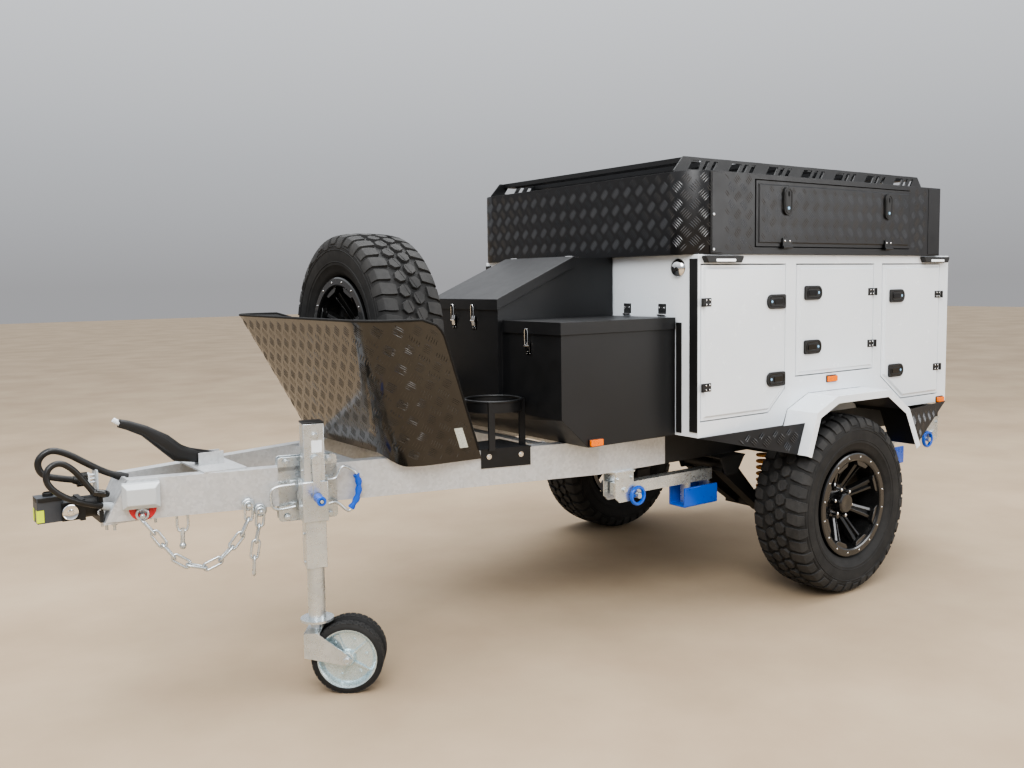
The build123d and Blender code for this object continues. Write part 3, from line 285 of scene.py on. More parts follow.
# Mesh building
class Build:
    """Gathers simple solids into one joined mesh."""

    def __init__(self):
        self.verts = []
        self.faces = []

    def add(self, verts, faces):
        base = len(self.verts)
        self.verts += [tuple(v) for v in verts]
        self.faces += [tuple(base + i for i in face) for face in faces]

    def block(self, low, high):
        """What lies between two outlines of as many points."""
        n = len(low)
        sides = [(k, (k + 1) % n, (k + 1) % n + n, k + n) for k in range(n)]
        self.add(low + high, [tuple(range(n))[::-1], tuple(range(n, 2 * n))] + sides)

    def loft(self, sections):
        """Joins sections of as many points in turn, and closes both ends."""
        n, last = len(sections[0]), len(sections) - 1
        faces = [tuple(range(n)), tuple(last * n + k for k in range(n))[::-1]]
        for i in range(last):
            near, far = i * n, (i + 1) * n
            faces += [(near + k, far + k, far + (k + 1) % n, near + (k + 1) % n) for k in range(n)]
        self.add([point for section in sections for point in section], faces)

    def prism(self, outline, origin, across, up, depth):
        """The outline, drawn in across and up from origin, given a depth along across x up."""
        normal = across.cross(up).normalized() * depth
        low = [origin + across * a + up * b for a, b in outline]
        self.block(low, [p + normal for p in low])

    def ring(self, outer, inner, origin, across, up, depth):
        """A frame: what lies between two outlines of as many points, given a depth along across x up."""
        normal = across.cross(up).normalized() * depth
        n = len(outer)
        low = [origin + across * a + up * b for a, b in outer + inner]
        faces = []
        for i in range(n):
            j = (i + 1) % n
            faces += [(i, n + i, n + j, j), (2 * n + i, 2 * n + j, 3 * n + j, 3 * n + i),
                      (i, j, 2 * n + j, 2 * n + i), (n + i, 3 * n + i, 3 * n + j, n + j)]
        self.add(low + [p + normal for p in low], faces)

    def box_at(self, middle, across, up, width, height, depth):
        """A box that stands on a face, centred on middle, its depth on the side away from across x up."""
        self.prism(rectangle(width / 2, height / 2), middle, across, up, -depth)

    def box(self, low, high):
        x0, y0, z0 = low
        self.prism([(0, 0), (high[0] - x0, 0), (high[0] - x0, high[1] - y0), (0, high[1] - y0)],
                   Vector(low), X_AXIS, Y_AXIS, high[2] - z0)

    def lathe(self, profile, origin, axis, steps=32, loop=False):
        """Turns (radius, height) points round an axis. A loop joins its last point to its first."""
        axis = axis.normalized()
        m = len(profile)
        faces = []
        for i in range(steps):
            j = (i + 1) % steps
            for k in range(m if loop else m - 1):
                n = (k + 1) % m
                faces.append((i * m + k, j * m + k, j * m + n, i * m + n))
        if not loop:
            faces.append(tuple(i * m for i in range(steps))[::-1])
            faces.append(tuple(i * m + m - 1 for i in range(steps)))
        self.add([origin + ray * r + axis * h for ray in rays(axis, steps) for r, h in profile], faces)

    def rod(self, start, end, radius, steps=20, end_radius=None):
        start, end = Vector(start), Vector(end)
        length = (end - start).length
        self.lathe([(radius, 0), (end_radius or radius, length)], start, end - start, steps)

    def pipe(self, points, radius, steps=12, closed=False):
        """A round bar along points, mitred at each of them."""
        points = [Vector(p) for p in points]
        count = len(points)
        verts, faces = [], []
        side = None
        for i, point in enumerate(points):
            before = points[i - 1] if (closed or i) else point
            after = points[(i + 1) % count] if (closed or i < count - 1) else point
            along = (after - before).normalized()
            side = along.orthogonal() if side is None else side - along * side.dot(along)
            side.normalize()
            other = along.cross(side)
            for k in range(steps):
                angle = 2 * math.pi * k / steps
                verts.append(point + (side * math.cos(angle) + other * math.sin(angle)) * radius)
        for i in range(count if closed else count - 1):
            j = (i + 1) % count
            shift = 0
            if closed and j == 0:
                seam = verts[i * steps] - points[i]
                shift = max(range(steps), key=lambda k: (verts[k] - points[0]).dot(seam))
            for k in range(steps):
                n = (k + 1) % steps
                faces.append((i * steps + k, i * steps + n, j * steps + (n + shift) % steps,
                              j * steps + (k + shift) % steps))
        if not closed:
            faces += [tuple(range(steps))[::-1], tuple((count - 1) * steps + k for k in range(steps))]
        self.add(verts, faces)

    def bolt(self, at, axis, size):
        """Washer and hexagon head."""
        axis = axis.normalized()
        height = size * 0.6
        washer = size * 0.16
        self.lathe([(size * 1.05, 0), (size * 1.05, washer)], at, axis, 20)
        self.lathe([(size * 0.8, 0), (size * 0.8, height * 0.8), (size * 0.68, height)], at + axis * washer,
                   axis, 6)

    def dome(self, at, axis, radius, height):
        """A round rivet head."""
        profile = [(radius, 0), (radius * 0.92, height * 0.5), (radius * 0.62, height * 0.85),
                   (radius * 0.2, height)]
        self.lathe(profile, at, axis, 14)

    def make(self, name, material, body="chassis", slot=None, bevel=0.0, smooth=40):
        """The finished piece, in its material, riding a body. The slot argument is not used."""
        mesh = bpy.data.meshes.new(name)
        mesh.from_pydata(self.verts, [], self.faces)
        mesh.validate()
        shape = bmesh.new()
        shape.from_mesh(mesh)
        bmesh.ops.recalc_face_normals(shape, faces=shape.faces)
        shape.to_mesh(mesh)
        shape.free()
        obj = bpy.data.objects.new(name, mesh)
        bpy.context.scene.collection.objects.link(obj)
        mesh.materials.append(MATS[material])
        finish_edges(obj, bevel, smooth)
        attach(obj, body)
        return obj


def bevel_edges(obj, width, angle):
    edge = obj.modifiers.new("edges", "BEVEL")
    edge.width = width
    edge.segments = 2
    edge.limit_method = "ANGLE"
    edge.angle_limit = math.radians(angle)


def finish_edges(obj, bevel, smooth):
    mesh = obj.data
    for face in mesh.polygons:
        face.use_smooth = smooth > 0
    if smooth > 0:
        mesh.set_sharp_from_angle(angle=math.radians(smooth))
    if bevel:
        bevel_edges(obj, bevel, 35)


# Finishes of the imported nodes
STAND_LEGS = [f"stand_leg_{side}_{end}" for side, _ in SIDES for end in ("front", "rear")]
DOOR_PANELS = [f"door_{side}_{place}" for side, _ in SIDES for place in ("front", "middle", "rear")]
LIDS = ["lid_left", "lid_right", "lid_middle"]
NODE_FINISH = {
    "galvanised": ["drawbar"],
    "zinc": ["stand_brackets", "jockey_inner", "jockey_fork"] + STAND_LEGS,
    "frame_black": ["chassis_rails", "rear_bumper", "suspension_arms", "coupling_fork"],
    "white": ["body_shell", "mudguards", "rear_hatch"] + DOOR_PANELS,
    "satin": ["front_boxes", "spare_carrier", "bottle_holders", "roof_rack"] + LIDS,
    "plate": ["top_box", "top_door_left", "top_door_right", "deflectors"],
    "plastic": ["brake_lever", "coupling_base"],
    "red_lens": ["tail_lamps"],
    "grey_block": ["coupling_block"],
}
SOFT_EDGES = ["drawbar", "body_shell", "mudguards", "rear_hatch", "front_boxes", "top_box", "chassis_rails",
              "roof_rack", "coupling_block", "jockey_fork"] + LIDS + STAND_LEGS


def dress_nodes():
    for material, names in NODE_FINISH.items():
        for name in names:
            mesh = nodes[name].data
            mesh.materials.clear()
            mesh.materials.append(MATS[material])
    for name in SOFT_EDGES:
        node = nodes[name]
        weld = node.modifiers.new("weld", "WELD")
        weld.merge_threshold = 0.00002
        bevel_edges(node, 0.0012, 30)


# Five-bar tread plate
TREAD_PITCH = 0.072
BAR_LENGTH, BAR_WIDTH, BAR_HEIGHT, BARS = 0.040, 0.0048, 0.0012, 5


def tread_plate(name, surface, width, height, body, keep=None, material="bars", lift=1.0):
    """Raised bars over surface(u, v), which gives a point and its normal; keep(u, v) says where they go."""
    build = Build()
    half, edge, sunk = TREAD_PITCH / 2, 0.004, 0.0001
    shape = [(-0.5, 0, 0), (-0.2, -0.5, 0), (0.2, -0.5, 0), (0.5, 0, 0), (0.2, 0.5, 0), (-0.2, 0.5, 0),
             (-0.3, 0, 1), (0.3, 0, 1)]
    faces = [(5, 4, 3, 2, 1, 0), (0, 1, 6), (1, 2, 7, 6), (2, 3, 7), (3, 4, 7), (4, 5, 6, 7), (5, 0, 6)]
    spread = TREAD_PITCH / math.sqrt(2) / (BARS + 0.6)
    for i in range(int(width / half) + 1):
        for j in range(int(height / half) + 1):
            if (i + j) % 2:
                continue
            lean = math.radians(45 if i % 2 else -45)
            along = (math.cos(lean), math.sin(lean))
            beside = (-along[1], along[0])
            for k in range(BARS):
                step = (k - (BARS - 1) / 2) * spread
                cu, cv = (i + 0.5) * half + beside[0] * step, (j + 0.5) * half + beside[1] * step
                length = BAR_LENGTH * (1 - 0.06 * abs(k - 2))
                ends = [(cu + along[0] * length * e / 2, cv + along[1] * length * e / 2) for e in (-1, 1)]
                if any(not (edge < u < width - edge and edge < v < height - edge) for u, v in ends):
                    continue
                if keep and not all(keep(u, v) for u, v in ends):
                    continue
                verts = []
                for a, b, h in shape:
                    u = cu + along[0] * a * length + beside[0] * b * BAR_WIDTH
                    v = cv + along[1] * a * length + beside[1] * b * BAR_WIDTH
                    point, normal = surface(u, v)
                    verts.append(point + normal * (h * BAR_HEIGHT * lift - sunk))
                build.add(verts, faces)
    build.make(name, material, body, "checker_black", smooth=30)


# Faces of the body and the top box
BODY_FRONT, BODY_HALF, DOOR_FACE, LOCK_FACE = 0.220, 0.740, 0.747, 0.756
TOP_FRONT, TOP_HALF, TOP_DOOR_FACE, TOP_CORNER = 0.180, 0.757, 0.764, 0.130
SEAM_X, SIDE_END_X = 0.343, 1.823
PANEL_X, PANEL_Z, PANEL_WIDTH, PANEL_HEIGHT = 0.557, 1.564, 1.094, 0.245


def plate_on_top_box():
    low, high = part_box("top_box")
    corner, x0, half = TOP_CORNER, TOP_FRONT, TOP_HALF
    z0, z1 = low.z, high.z
    arc = corner * math.pi / 2
    straight = 2 * (half - corner)
    side, bare = 0.1, 0.065

    def wrap(u, v):
        """Along the left side to its corner, round it, across the front and round the right corner."""
        z = z0 + v
        if u < side:
            return Vector((x0 + corner + side - u, -half, z)), Vector((0, -1, 0))
        u -= side
        if u < arc:
            angle = u / corner
            normal = Vector((-math.sin(angle), -math.cos(angle), 0))
            return Vector((x0 + corner, -half + corner, z)) + normal * corner, normal
        u -= arc
        if u < straight:
            return Vector((x0, -half + corner + u, z)), Vector((-1, 0, 0))
        u -= straight
        if u < arc:
            angle = u / corner
            normal = Vector((-math.cos(angle), math.sin(angle), 0))
            return Vector((x0 + corner, half - corner, z)) + normal * corner, normal
        return Vector((x0 + corner + u - arc, half, z)), Vector((0, 1, 0))

    total = 2 * side + 2 * arc + straight
    tread_plate("tread_top_front", wrap, total, z1 - z0, "chassis", keep=lambda u, v: bare < u < total - bare)
    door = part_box("top_door_left")
    gap, sill, head = 0.012, 0.025, 0.02
    for name, s in SIDES:
        across = lambda u, v, s=s: (Vector((SEAM_X + u, s * half, z0 + v)), Vector((0, s, 0)))
        tread_plate(f"tread_top_side_{name}", across, SIDE_END_X - SEAM_X, z1 - z0, "chassis",
                    keep=lambda u, v: not (door[0].x - gap < SEAM_X + u < door[1].x + gap
                                           and sill < v < z1 - z0 - head))
        panel = lambda u, v, s=s: (Vector((PANEL_X + u, s * TOP_DOOR_FACE, PANEL_Z + v)), Vector((0, s, 0)))
        tread_plate(f"tread_top_door_{name}", panel, PANEL_WIDTH, PANEL_HEIGHT, f"top_door_{name}_body")


# Off-road tyre
TYRE_R, TYRE_HALF, TREAD_FLOOR = 0.402, 0.132, 0.3875
LUGS = 40


def tyre_radius(y):
    """Radius of the tread's crown at a distance from the middle plane."""
    return TYRE_R - 0.005 * (abs(y) / 0.1) ** 2.2


def make_tyre(name, axle, outward, body, node):
    bead, half = 0.234, TYRE_HALF
    profile = [(bead, 0.096), (bead + 0.008, 0.112), (bead + 0.024, 0.122), (bead + 0.044, 0.1265),
               (bead + 0.046, 0.1285), (bead + 0.072, 0.1305), (bead + 0.094, half), (bead + 0.112, 0.1305),
               (0.362, 0.127), (0.376, 0.119), (0.386, 0.106), (0.3885, 0.09), (0.389, 0.04)]
    outline = profile + [(r, -y) for r, y in profile[::-1]] + [(bead, -0.09)]
    carcass = Build()
    carcass.lathe(outline, axle, outward, 128, loop=True)
    for radius, at in ((bead + 0.058, 0.1295), (bead + 0.105, 0.1315), (bead + 0.118, 0.1295)):
        for s in (-1, 1):
            carcass.lathe([(radius - 0.002, s * at), (radius, s * (at + 0.0018)), (radius + 0.002, s * at)],
                          axle, outward, 96, loop=True)
    obj = carcass.make(name, "tyre", body, smooth=35)
    lugs = Build()

    def point(angle, y, r):
        return axle + turned(outward, angle) * r + outward * y

    pitch = 2 * math.pi / LUGS
    # two rows of interlocking centre blocks, each cut by a slanting sipe
    block = [(-0.36, 0.006), (-0.10, 0.0), (0.30, 0.008), (0.42, 0.024), (0.20, 0.044), (-0.16, 0.047),
             (-0.44, 0.03)]
    for i in range(LUGS):
        for s, shift in ((1, 0.0), (-1, 0.5)):
            for half_block in (0, 1):
                cut = block[:4] if half_block else [block[3]] + block[4:] + [block[0]]
                middle = (sum(p[0] for p in cut) / len(cut), sum(p[1] for p in cut) / len(cut))
                top, base = [], []
                for a, y in cut:
                    a2, y2 = middle[0] + (a - middle[0]) * 0.93, middle[1] + (y - middle[1]) * 0.93
                    angle = (i + shift + a2 * s) * pitch
                    top.append(point(angle, s * (y2 + 0.003), tyre_radius(y2)))
                    angle = (i + shift + (middle[0] + (a - middle[0]) * 1.06) * s) * pitch
                    base.append(point(angle, s * (middle[1] + (y - middle[1]) * 1.06 + 0.003), TREAD_FLOOR))
                lugs.loft([top, base])
    # shoulder lugs, long and short in turn, curling over onto the sidewall
    rows = [(0.058, 0.0), (0.080, 0.0), (0.104, 0.0015), (0.116, 0.007), (0.1245, 0.018), (0.1305, 0.034),
            (0.133, 0.05)]
    for i in range(LUGS):
        for s, shift in ((1, 0.25), (-1, 0.75)):
            long = i % 2 == 0
            inner = 0.0 if long else 0.010
            stations = rows if long else rows[:-1]
            sections = []
            for k, (y, drop) in enumerate(stations):
                y = y + (inner if k == 0 else 0)
                sweep = -0.16 + 0.05 * k if k < 3 else 0.0
                wide = (0.30, 0.36, 0.38, 0.38, 0.36, 0.33, 0.28)[k] * pitch
                r = min(tyre_radius(min(y, 0.104)), TYRE_R) - drop
                depth = 0.012 if k < 4 else 0.006
                y_deep = y - (0 if k < 3 else 0.004 if k == 3 else 0.006)
                middle = (i + shift + sweep * s) * pitch
                sections.append([point(middle - wide, s * y, r), point(middle + wide, s * y, r),
                                 point(middle + wide * 1.05, s * y_deep, r - depth),
                                 point(middle - wide * 1.05, s * y_deep, r - depth)])
            lugs.loft(sections)
    lugs.make(name + "_lugs", "tread", body, bevel=0.0008, smooth=25)
    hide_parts(node)


# Split-spoke rim
SPOKES = 8


def make_rim(name, axle, outward, body, node):
    barrel = Build()
    outline = [(0.2335, 0.112), (0.2335, 0.120), (0.228, 0.1235), (0.205, 0.1235), (0.199, 0.120),
               (0.197, 0.112), (0.199, 0.062), (0.193, 0.050), (0.190, -0.070), (0.205, -0.108),
               (0.2335, -0.116), (0.2335, -0.104), (0.212, -0.096), (0.199, -0.062), (0.200, 0.040),
               (0.208, 0.056), (0.208, 0.098)]
    barrel.lathe(outline, axle, outward, 96, loop=True)
    hub = [(0.062, -0.125), (0.066, -0.11), (0.066, 0.0), (0.082, 0.012), (0.086, 0.034), (0.078, 0.040),
           (0.050, 0.042), (0.046, 0.080), (0.040, 0.086), (0.030, 0.087), (0.012, 0.083), (0.002, 0.083)]
    barrel.lathe(hub, axle, outward, 48)
    obj = barrel.make(name, "rim", body, smooth=30)
    spokes = Build()
    for ray in rays(outward, SPOKES, 0.5):
        tangent = outward.cross(ray)
        for s in (-1, 1):
            # a rib from the hub out to the ring, higher at the ring
            stations = [(0.060, 0.004, 0.014, 0.040), (0.105, 0.006, 0.013, 0.062),
                        (0.160, 0.009, 0.0135, 0.088), (0.202, 0.012, 0.016, 0.108)]
            spokes.loft([[axle + ray * r + tangent * s * across + outward * height
                          for across, height in ((gap, top), (gap + wide, top - 0.004),
                                                 (gap + wide + 0.003, top - 0.034),
                                                 (gap - 0.002, top - 0.034))]
                         for r, gap, wide, top in stations])
        spokes.loft([[axle + ray * r + tangent * s * 0.013 + outward * (top - drop)
                      for s, drop in ((-1, 0), (1, 0), (1, 0.012), (-1, 0.012))]
                     for r, top in ((0.060, 0.030), (0.160, 0.074), (0.202, 0.094))])
        # foot that ties the pair to the ring
        foot = [(-0.044, 0.188), (-0.030, 0.176), (0.030, 0.176), (0.044, 0.188), (0.042, 0.204),
                (-0.042, 0.204)]
        spokes.prism(foot, axle + outward * 0.094, tangent, ray, -0.020)
    spokes.make(name + "_spokes", "rim", body, bevel=0.0015, smooth=30)
    rivets = Build()
    for ray in rays(outward, 2 * SPOKES, 0.5):
        rivets.dome(axle + ray * 0.2165 + outward * 0.1234, outward, 0.0042, 0.003)
    for ray in rays(outward, 6):
        at = axle + ray * 0.062 + outward * 0.041
        rivets.lathe([(0.0105, 0), (0.0105, 0.022), (0.008, 0.030), (0.004, 0.032)], at, outward, 6)
    rivets.make(name + "_rivets", "chrome", body, smooth=30)
    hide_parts(node)


def make_wheels():
    for name, body, centre, outward in (
        ("left", "wheel_left", Vector((1.080, -0.755, 0.402)), Vector((0, -1, 0))),
        ("right", "wheel_right", Vector((1.080, 0.755, 0.402)), Vector((0, 1, 0))),
        ("spare", "chassis", Vector((-0.870, 0, 1.212)), Vector((-1, 0, 0))),
    ):
        make_tyre(f"offroad_tyre_{name}", centre, outward, body, f"tyre_{name}")
        make_rim(f"spoke_rim_{name}", centre, outward, body, f"rim_{name}")


# Directions along and out from the left rail, and points given by a station on it
NOSE_X, NOSE_HALF, BEND_X, RAIL_OUT_Y, RAIL_WIDTH = -1.894, 0.075, -0.119, 0.522, 0.050
RAIL_ANGLE = math.atan2(RAIL_OUT_Y - NOSE_HALF, BEND_X - NOSE_X)
ALONG = Vector((math.cos(RAIL_ANGLE), -math.sin(RAIL_ANGLE), 0))
OUTWARD = Vector((-math.sin(RAIL_ANGLE), -math.cos(RAIL_ANGLE), 0))


def on_rail(x, along, out, z):
    """A point beside the left rail: from its outer face at station x, along the rail and outwards."""
    y = -(NOSE_HALF + (x - NOSE_X) * math.tan(RAIL_ANGLE))
    return Vector((x, y, z)) + ALONG * along + OUTWARD * out


# Cable conduits: control points, thickness and length
CONDUITS = {
    "conduit_upper": dict(
        radius=0.011, length=0.450, far_end="plug",
        points=[
            (-1.818, 0, 0.776), (-1.840, 0, 0.784), (-1.875, 0, 0.800), (-1.930, 0, 0.836),
            (-1.988, 0, 0.876), (-2.040, 0.002, 0.893), (-2.078, 0.006, 0.859), (-2.066, 0.008, 0.810),
            (-2.012, 0.004, 0.793), (-1.960, 0, 0.782),
        ],
    ),
    "conduit_lower": dict(
        radius=0.010, length=0.470, far_end="connector",
        points=[
            (-1.878, -0.054, 0.691), (-1.914, -0.070, 0.701), (-1.960, -0.098, 0.720),
            (-2.014, -0.114, 0.746), (-2.058, -0.116, 0.782), (-2.075, -0.114, 0.814),
            (-2.066, -0.112, 0.852), (-2.030, -0.108, 0.866), (-1.992, -0.102, 0.840),
            (-1.958, -0.098, 0.794), (-1.930, -0.096, 0.752),
        ],
    ),
}


def make_plug():
    """Flat plug with a ribbed body and two rows of pins."""
    plug = Build()
    outline = [(-0.013, -0.015), (-0.005, -0.023), (0.005, -0.023), (0.013, -0.015), (0.013, 0.015),
               (0.005, 0.023), (-0.005, 0.023), (-0.013, 0.015)]
    plug.prism(outline, Vector((-1.960, 0, 0.782)), Y_AXIS, Z_AXIS, 0.033)
    plug.rod((-1.972, 0, 0.784), (-1.958, 0, 0.782), 0.0125, end_radius=0.016)
    for z in (-0.014, -0.005, 0.005, 0.014):
        plug.box((-1.956, -0.0145, 0.781 + z), (-1.932, 0.0145, 0.783 + z))
    body = plug.make("flat_plug", "plastic", bevel=0.001)
    pins = Build()
    for y in (-0.006, 0.006):
        for z in (-0.012, 0.0, 0.012):
            pins.rod((-1.928, y, 0.782 + z), (-1.905, y, 0.782 + z), 0.0026)
    pins.box((-1.928, -0.009, 0.762), (-1.920, 0.009, 0.802))
    pins.make("plug_pins", "white", bevel=0.0004)
    return body


def make_connector():
    start = Vector(CONDUITS["conduit_lower"]["points"][-1])
    axis = Vector((0.86, 0.42, -0.30)).normalized()
    shell = Build()
    shell.lathe([(0.0105, -0.006), (0.012, 0.0), (0.012, 0.030), (0.0135, 0.032), (0.0135, 0.046),
                 (0.011, 0.054), (0.011, 0.056)], start, axis, 32)
    for k in range(4):
        shell.lathe([(0.0118, 0.006 + 0.005 * k), (0.0128, 0.008 + 0.005 * k), (0.0118, 0.010 + 0.005 * k)],
                    start, axis, 32, loop=True)
    return shell.make("round_connector", "glossy_black", smooth=50)


def make_conduits():
    ends = {"conduit_upper": make_plug(), "conduit_lower": make_connector()}
    for name, conduit in CONDUITS.items():
        points = conduit["points"]
        curve = bpy.data.curves.new(name + "_line", "CURVE")
        curve.dimensions = "3D"
        spline = curve.splines.new("NURBS")
        spline.points.add(len(points) - 1)
        for control, at in zip(spline.points, points):
            control.co = (*at, 1)
        spline.order_u = 3
        spline.use_endpoint_u = True
        curve.resolution_u = 24
        curve.bevel_depth = conduit["radius"]
        curve.bevel_resolution = 6
        curve.use_fill_caps = True
        curve.materials.append(MATS["conduit"])
        cord = bpy.data.objects.new(name + "_line", curve)
        bpy.context.scene.collection.objects.link(cord)
        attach(cord, "chassis")
        relief = Build()
        start, follow = Vector(points[0]), Vector(points[1])
        axis = (follow - start).normalized()
        wide = conduit["radius"] + 0.0035
        relief.lathe([(wide, -0.020), (wide, 0.006), (conduit["radius"] + 0.0008, 0.026)], start, axis, 28)
        finish = "pale_plastic" if name == "conduit_lower" else "plastic"
        relief.make(name + "_gland", finish, slot="lever_black")


# Safety chain and shackle
CHAIN_X, CHAIN_OUT = -1.450, 0.022
LINK_LENGTH, LINK_WIDTH, LINK_WIRE = 0.076, 0.035, 0.0047
CHAIN_MAIN = [(-0.342, 0.640), (-0.300, 0.582), (-0.256, 0.516), (-0.208, 0.478), (-0.150, 0.461),
              (-0.098, 0.482), (-0.054, 0.525), (-0.019, 0.572), (0.0, 0.620), (0.002, 0.664)]
CHAIN_TAIL = [(0.042, 0.640), (0.038, 0.600), (0.026, 0.540), (0.016, 0.480), (0.012, 0.416)]
SHACKLE_OUT, EYE_R = -0.02, 0.018
FINE_STEPS, LINK_STEPS = 12, 24


def link_stations(points, count):
    """Middles and directions of count links, evenly spaced on a smooth line through the points."""
    line = smooth_line(points, FINE_STEPS)
    lengths = lengths_along(line)
    stations = []
    for i in range(count):
        goal = (i + 0.5) / count * lengths[-1]
        k = span_at(lengths, goal)
        run = line[k + 1] - line[k]
        stations.append((line[k] + run.normalized() * (goal - lengths[k]), run.normalized()))
    return stations


def make_chain():
    links = Build()
    for points, count, first_facing in ((CHAIN_MAIN, 10, 0), (CHAIN_TAIL, 4, 1)):
        for i, (at, run) in enumerate(link_stations(points, count)):
            middle = on_rail(CHAIN_X, at[0], CHAIN_OUT, at[1])
            long = (ALONG * run[0] + Z_AXIS * run[1]).normalized()
            wide = long.cross(OUTWARD) if (i + first_facing) % 2 else OUTWARD
            half, bend = LINK_LENGTH / 2 - LINK_WIDTH / 2, LINK_WIDTH / 2 - LINK_WIRE
            path = []
            for k in range(LINK_STEPS):
                angle = 2 * math.pi * (k + 0.5) / LINK_STEPS
                shift = half if math.cos(angle) > 0 else -half
                path.append(middle + long * (shift + bend * math.cos(angle)) + wide * bend * math.sin(angle))
            links.pipe(path, LINK_WIRE, 10, closed=True)
    links.make("chain_links", "zinc", smooth=60)
    shackle = Build()
    bow = [(-0.233, 0.640), (-0.233, 0.600), (-0.229, 0.585), (-0.215, 0.577), (-0.201, 0.585),
           (-0.197, 0.600), (-0.197, 0.640)]
    shackle.pipe([on_rail(CHAIN_X, a, SHACKLE_OUT, z) for a, z in bow], 0.0045, 12)
    shackle.rod(on_rail(CHAIN_X, -0.215, SHACKLE_OUT, 0.592), on_rail(CHAIN_X, -0.217, SHACKLE_OUT, 0.540),
                0.0075)
    shackle.lathe([(0.002, -0.013), (0.008, -0.0105), (0.0125, 0), (0.008, 0.0105), (0.002, 0.013)],
                  on_rail(CHAIN_X, -0.217, SHACKLE_OUT, 0.531), Z_AXIS, 20)
    for along, z in ((-0.342, 0.661), (0.002, 0.659), (0.042, 0.635)):
        shackle.rod(on_rail(CHAIN_X, along, 0, z), on_rail(CHAIN_X, along, 0.046, z), 0.005)
        eye = [(along + EYE_R * math.cos(math.pi * k / 8), z + EYE_R * math.sin(math.pi * k / 8))
               for k in range(16)]
        shackle.pipe([on_rail(CHAIN_X, a, 0.014, b) for a, b in eye], 0.005, 10, closed=True)
        shackle.bolt(on_rail(CHAIN_X, along, 0.044, z), OUTWARD, 0.008)
    shackle.make("shackle_and_hooks", "zinc", smooth=50)
    lug = Build()
    lug.lathe([(0.0220, 0.0005), (0.0220, 0.0080), (0.0440, 0.0080), (0.0440, 0.0005)],
              on_rail(CHAIN_X, -0.340, 0, 0.682), OUTWARD, 40, loop=True)
    lug.make("ring_lug", "red", bevel=0.0008)


# Nose: junction box cover, coupling details and bolts
def make_nose():
    cover = Build()
    half_l, half_h, low, high, cut = 0.0598, 0.0428, 0.0325, 0.0492, 0.016
    corners = rectangle(half_l, half_h)
    inner = [(a - math.copysign(cut, a), b - math.copysign(cut, b)) for a, b in corners]
    cover.loft([[on_rail(-1.783, a, out, 0.726 + b) for a, b in ring]
                for out, ring in ((0.001, corners), (low, corners), (high, inner))])
    cover.make("junction_box_cover", "cover_grey", bevel=0.002)
    lid = Build()
    disc = [(0.0255, 0), (0.0255, 0.003), (0.0235, 0.0055), (0.020, 0.004), (0.010, 0.0035), (0.008, 0.0055),
            (0.004, 0.006)]
    for s in (-1, 1):
        lid.lathe(disc, Vector((-1.996, s * 0.0630, 0.690)), Vector((0, s, 0)), 48)
    lid.make("coupling_discs", "chrome", "coupling_block_body", "zinc", smooth=35)
    strip = Build()
    for s in (-1, 1):
        strip.box((-2.0915, s * 0.026 - 0.0075, 0.662), (-2.0895, s * 0.026 + 0.0075, 0.702))
        strip.box((-2.0905, s * 0.0337 - 0.0008, 0.662), (-2.0700, s * 0.0337 + 0.0008, 0.702))
    strip.make("lime_strips", "lime", "coupling_block_body")
    seam = Build()
    seam.lathe([(0.0165, 0.0), (0.0165, 0.010), (0.0135, 0.0125), (0.0135, 0.0)], Vector((-2.05, 0, 0.742)),
               Z_AXIS, 32, loop=True)
    seam.ring(rounded(0.0412, 0.0360, 0.012), rounded(0.0385, 0.0325, 0.010), Vector((-2.0500, 0, 0.728)),
              X_AXIS, Y_AXIS, 0.0135)
    seam.make("block_collar", "plastic", "coupling_block_body", "hitch_green", bevel=0.0006)
    bolts = Build()
    for x, y in ((-1.880, -0.030), (-1.860, -0.052), (-1.880, 0.030), (-1.860, 0.052), (-1.72, -0.03),
                 (-1.72, 0.03)):
        bolts.rod((x, y, 0.634), (x, y, 0.606), 0.005)
        bolts.lathe([(0.0095, 0), (0.0095, 0.008)], Vector((x, y, 0.624)), Z_AXIS, 6)
    for x in (-1.885, -1.735):
        for s in (-1, 1):
            bolts.bolt(Vector((x, s * 0.013, 0.725)), Z_AXIS, 0.008)
    bolts.make("nose_bolts", "zinc", smooth=30)
    wire = Build()
    squiggle = [(-1.905, -0.052, 0.664), (-1.912, -0.058, 0.672), (-1.908, -0.060, 0.682),
                (-1.898, -0.058, 0.684), (-1.890, -0.056, 0.676), (-1.892, -0.054, 0.668),
                (-1.902, -0.056, 0.668), (-1.912, -0.057, 0.678), (-1.900, -0.060, 0.690),
                (-1.886, -0.055, 0.680)]
    wire.pipe(squiggle, 0.0016, 8)
    wire.make("earth_wire", "white", smooth=60)
    tag = Build()
    tag.box((-1.9045, -0.031, 0.735), (-1.8985, 0.031, 0.812))
    tag.make("plug_holder_face", "pale_plastic", bevel=0.001)


# Brake lever: rubber sleeve and bright tip
SLEEVE_STEPS = 20


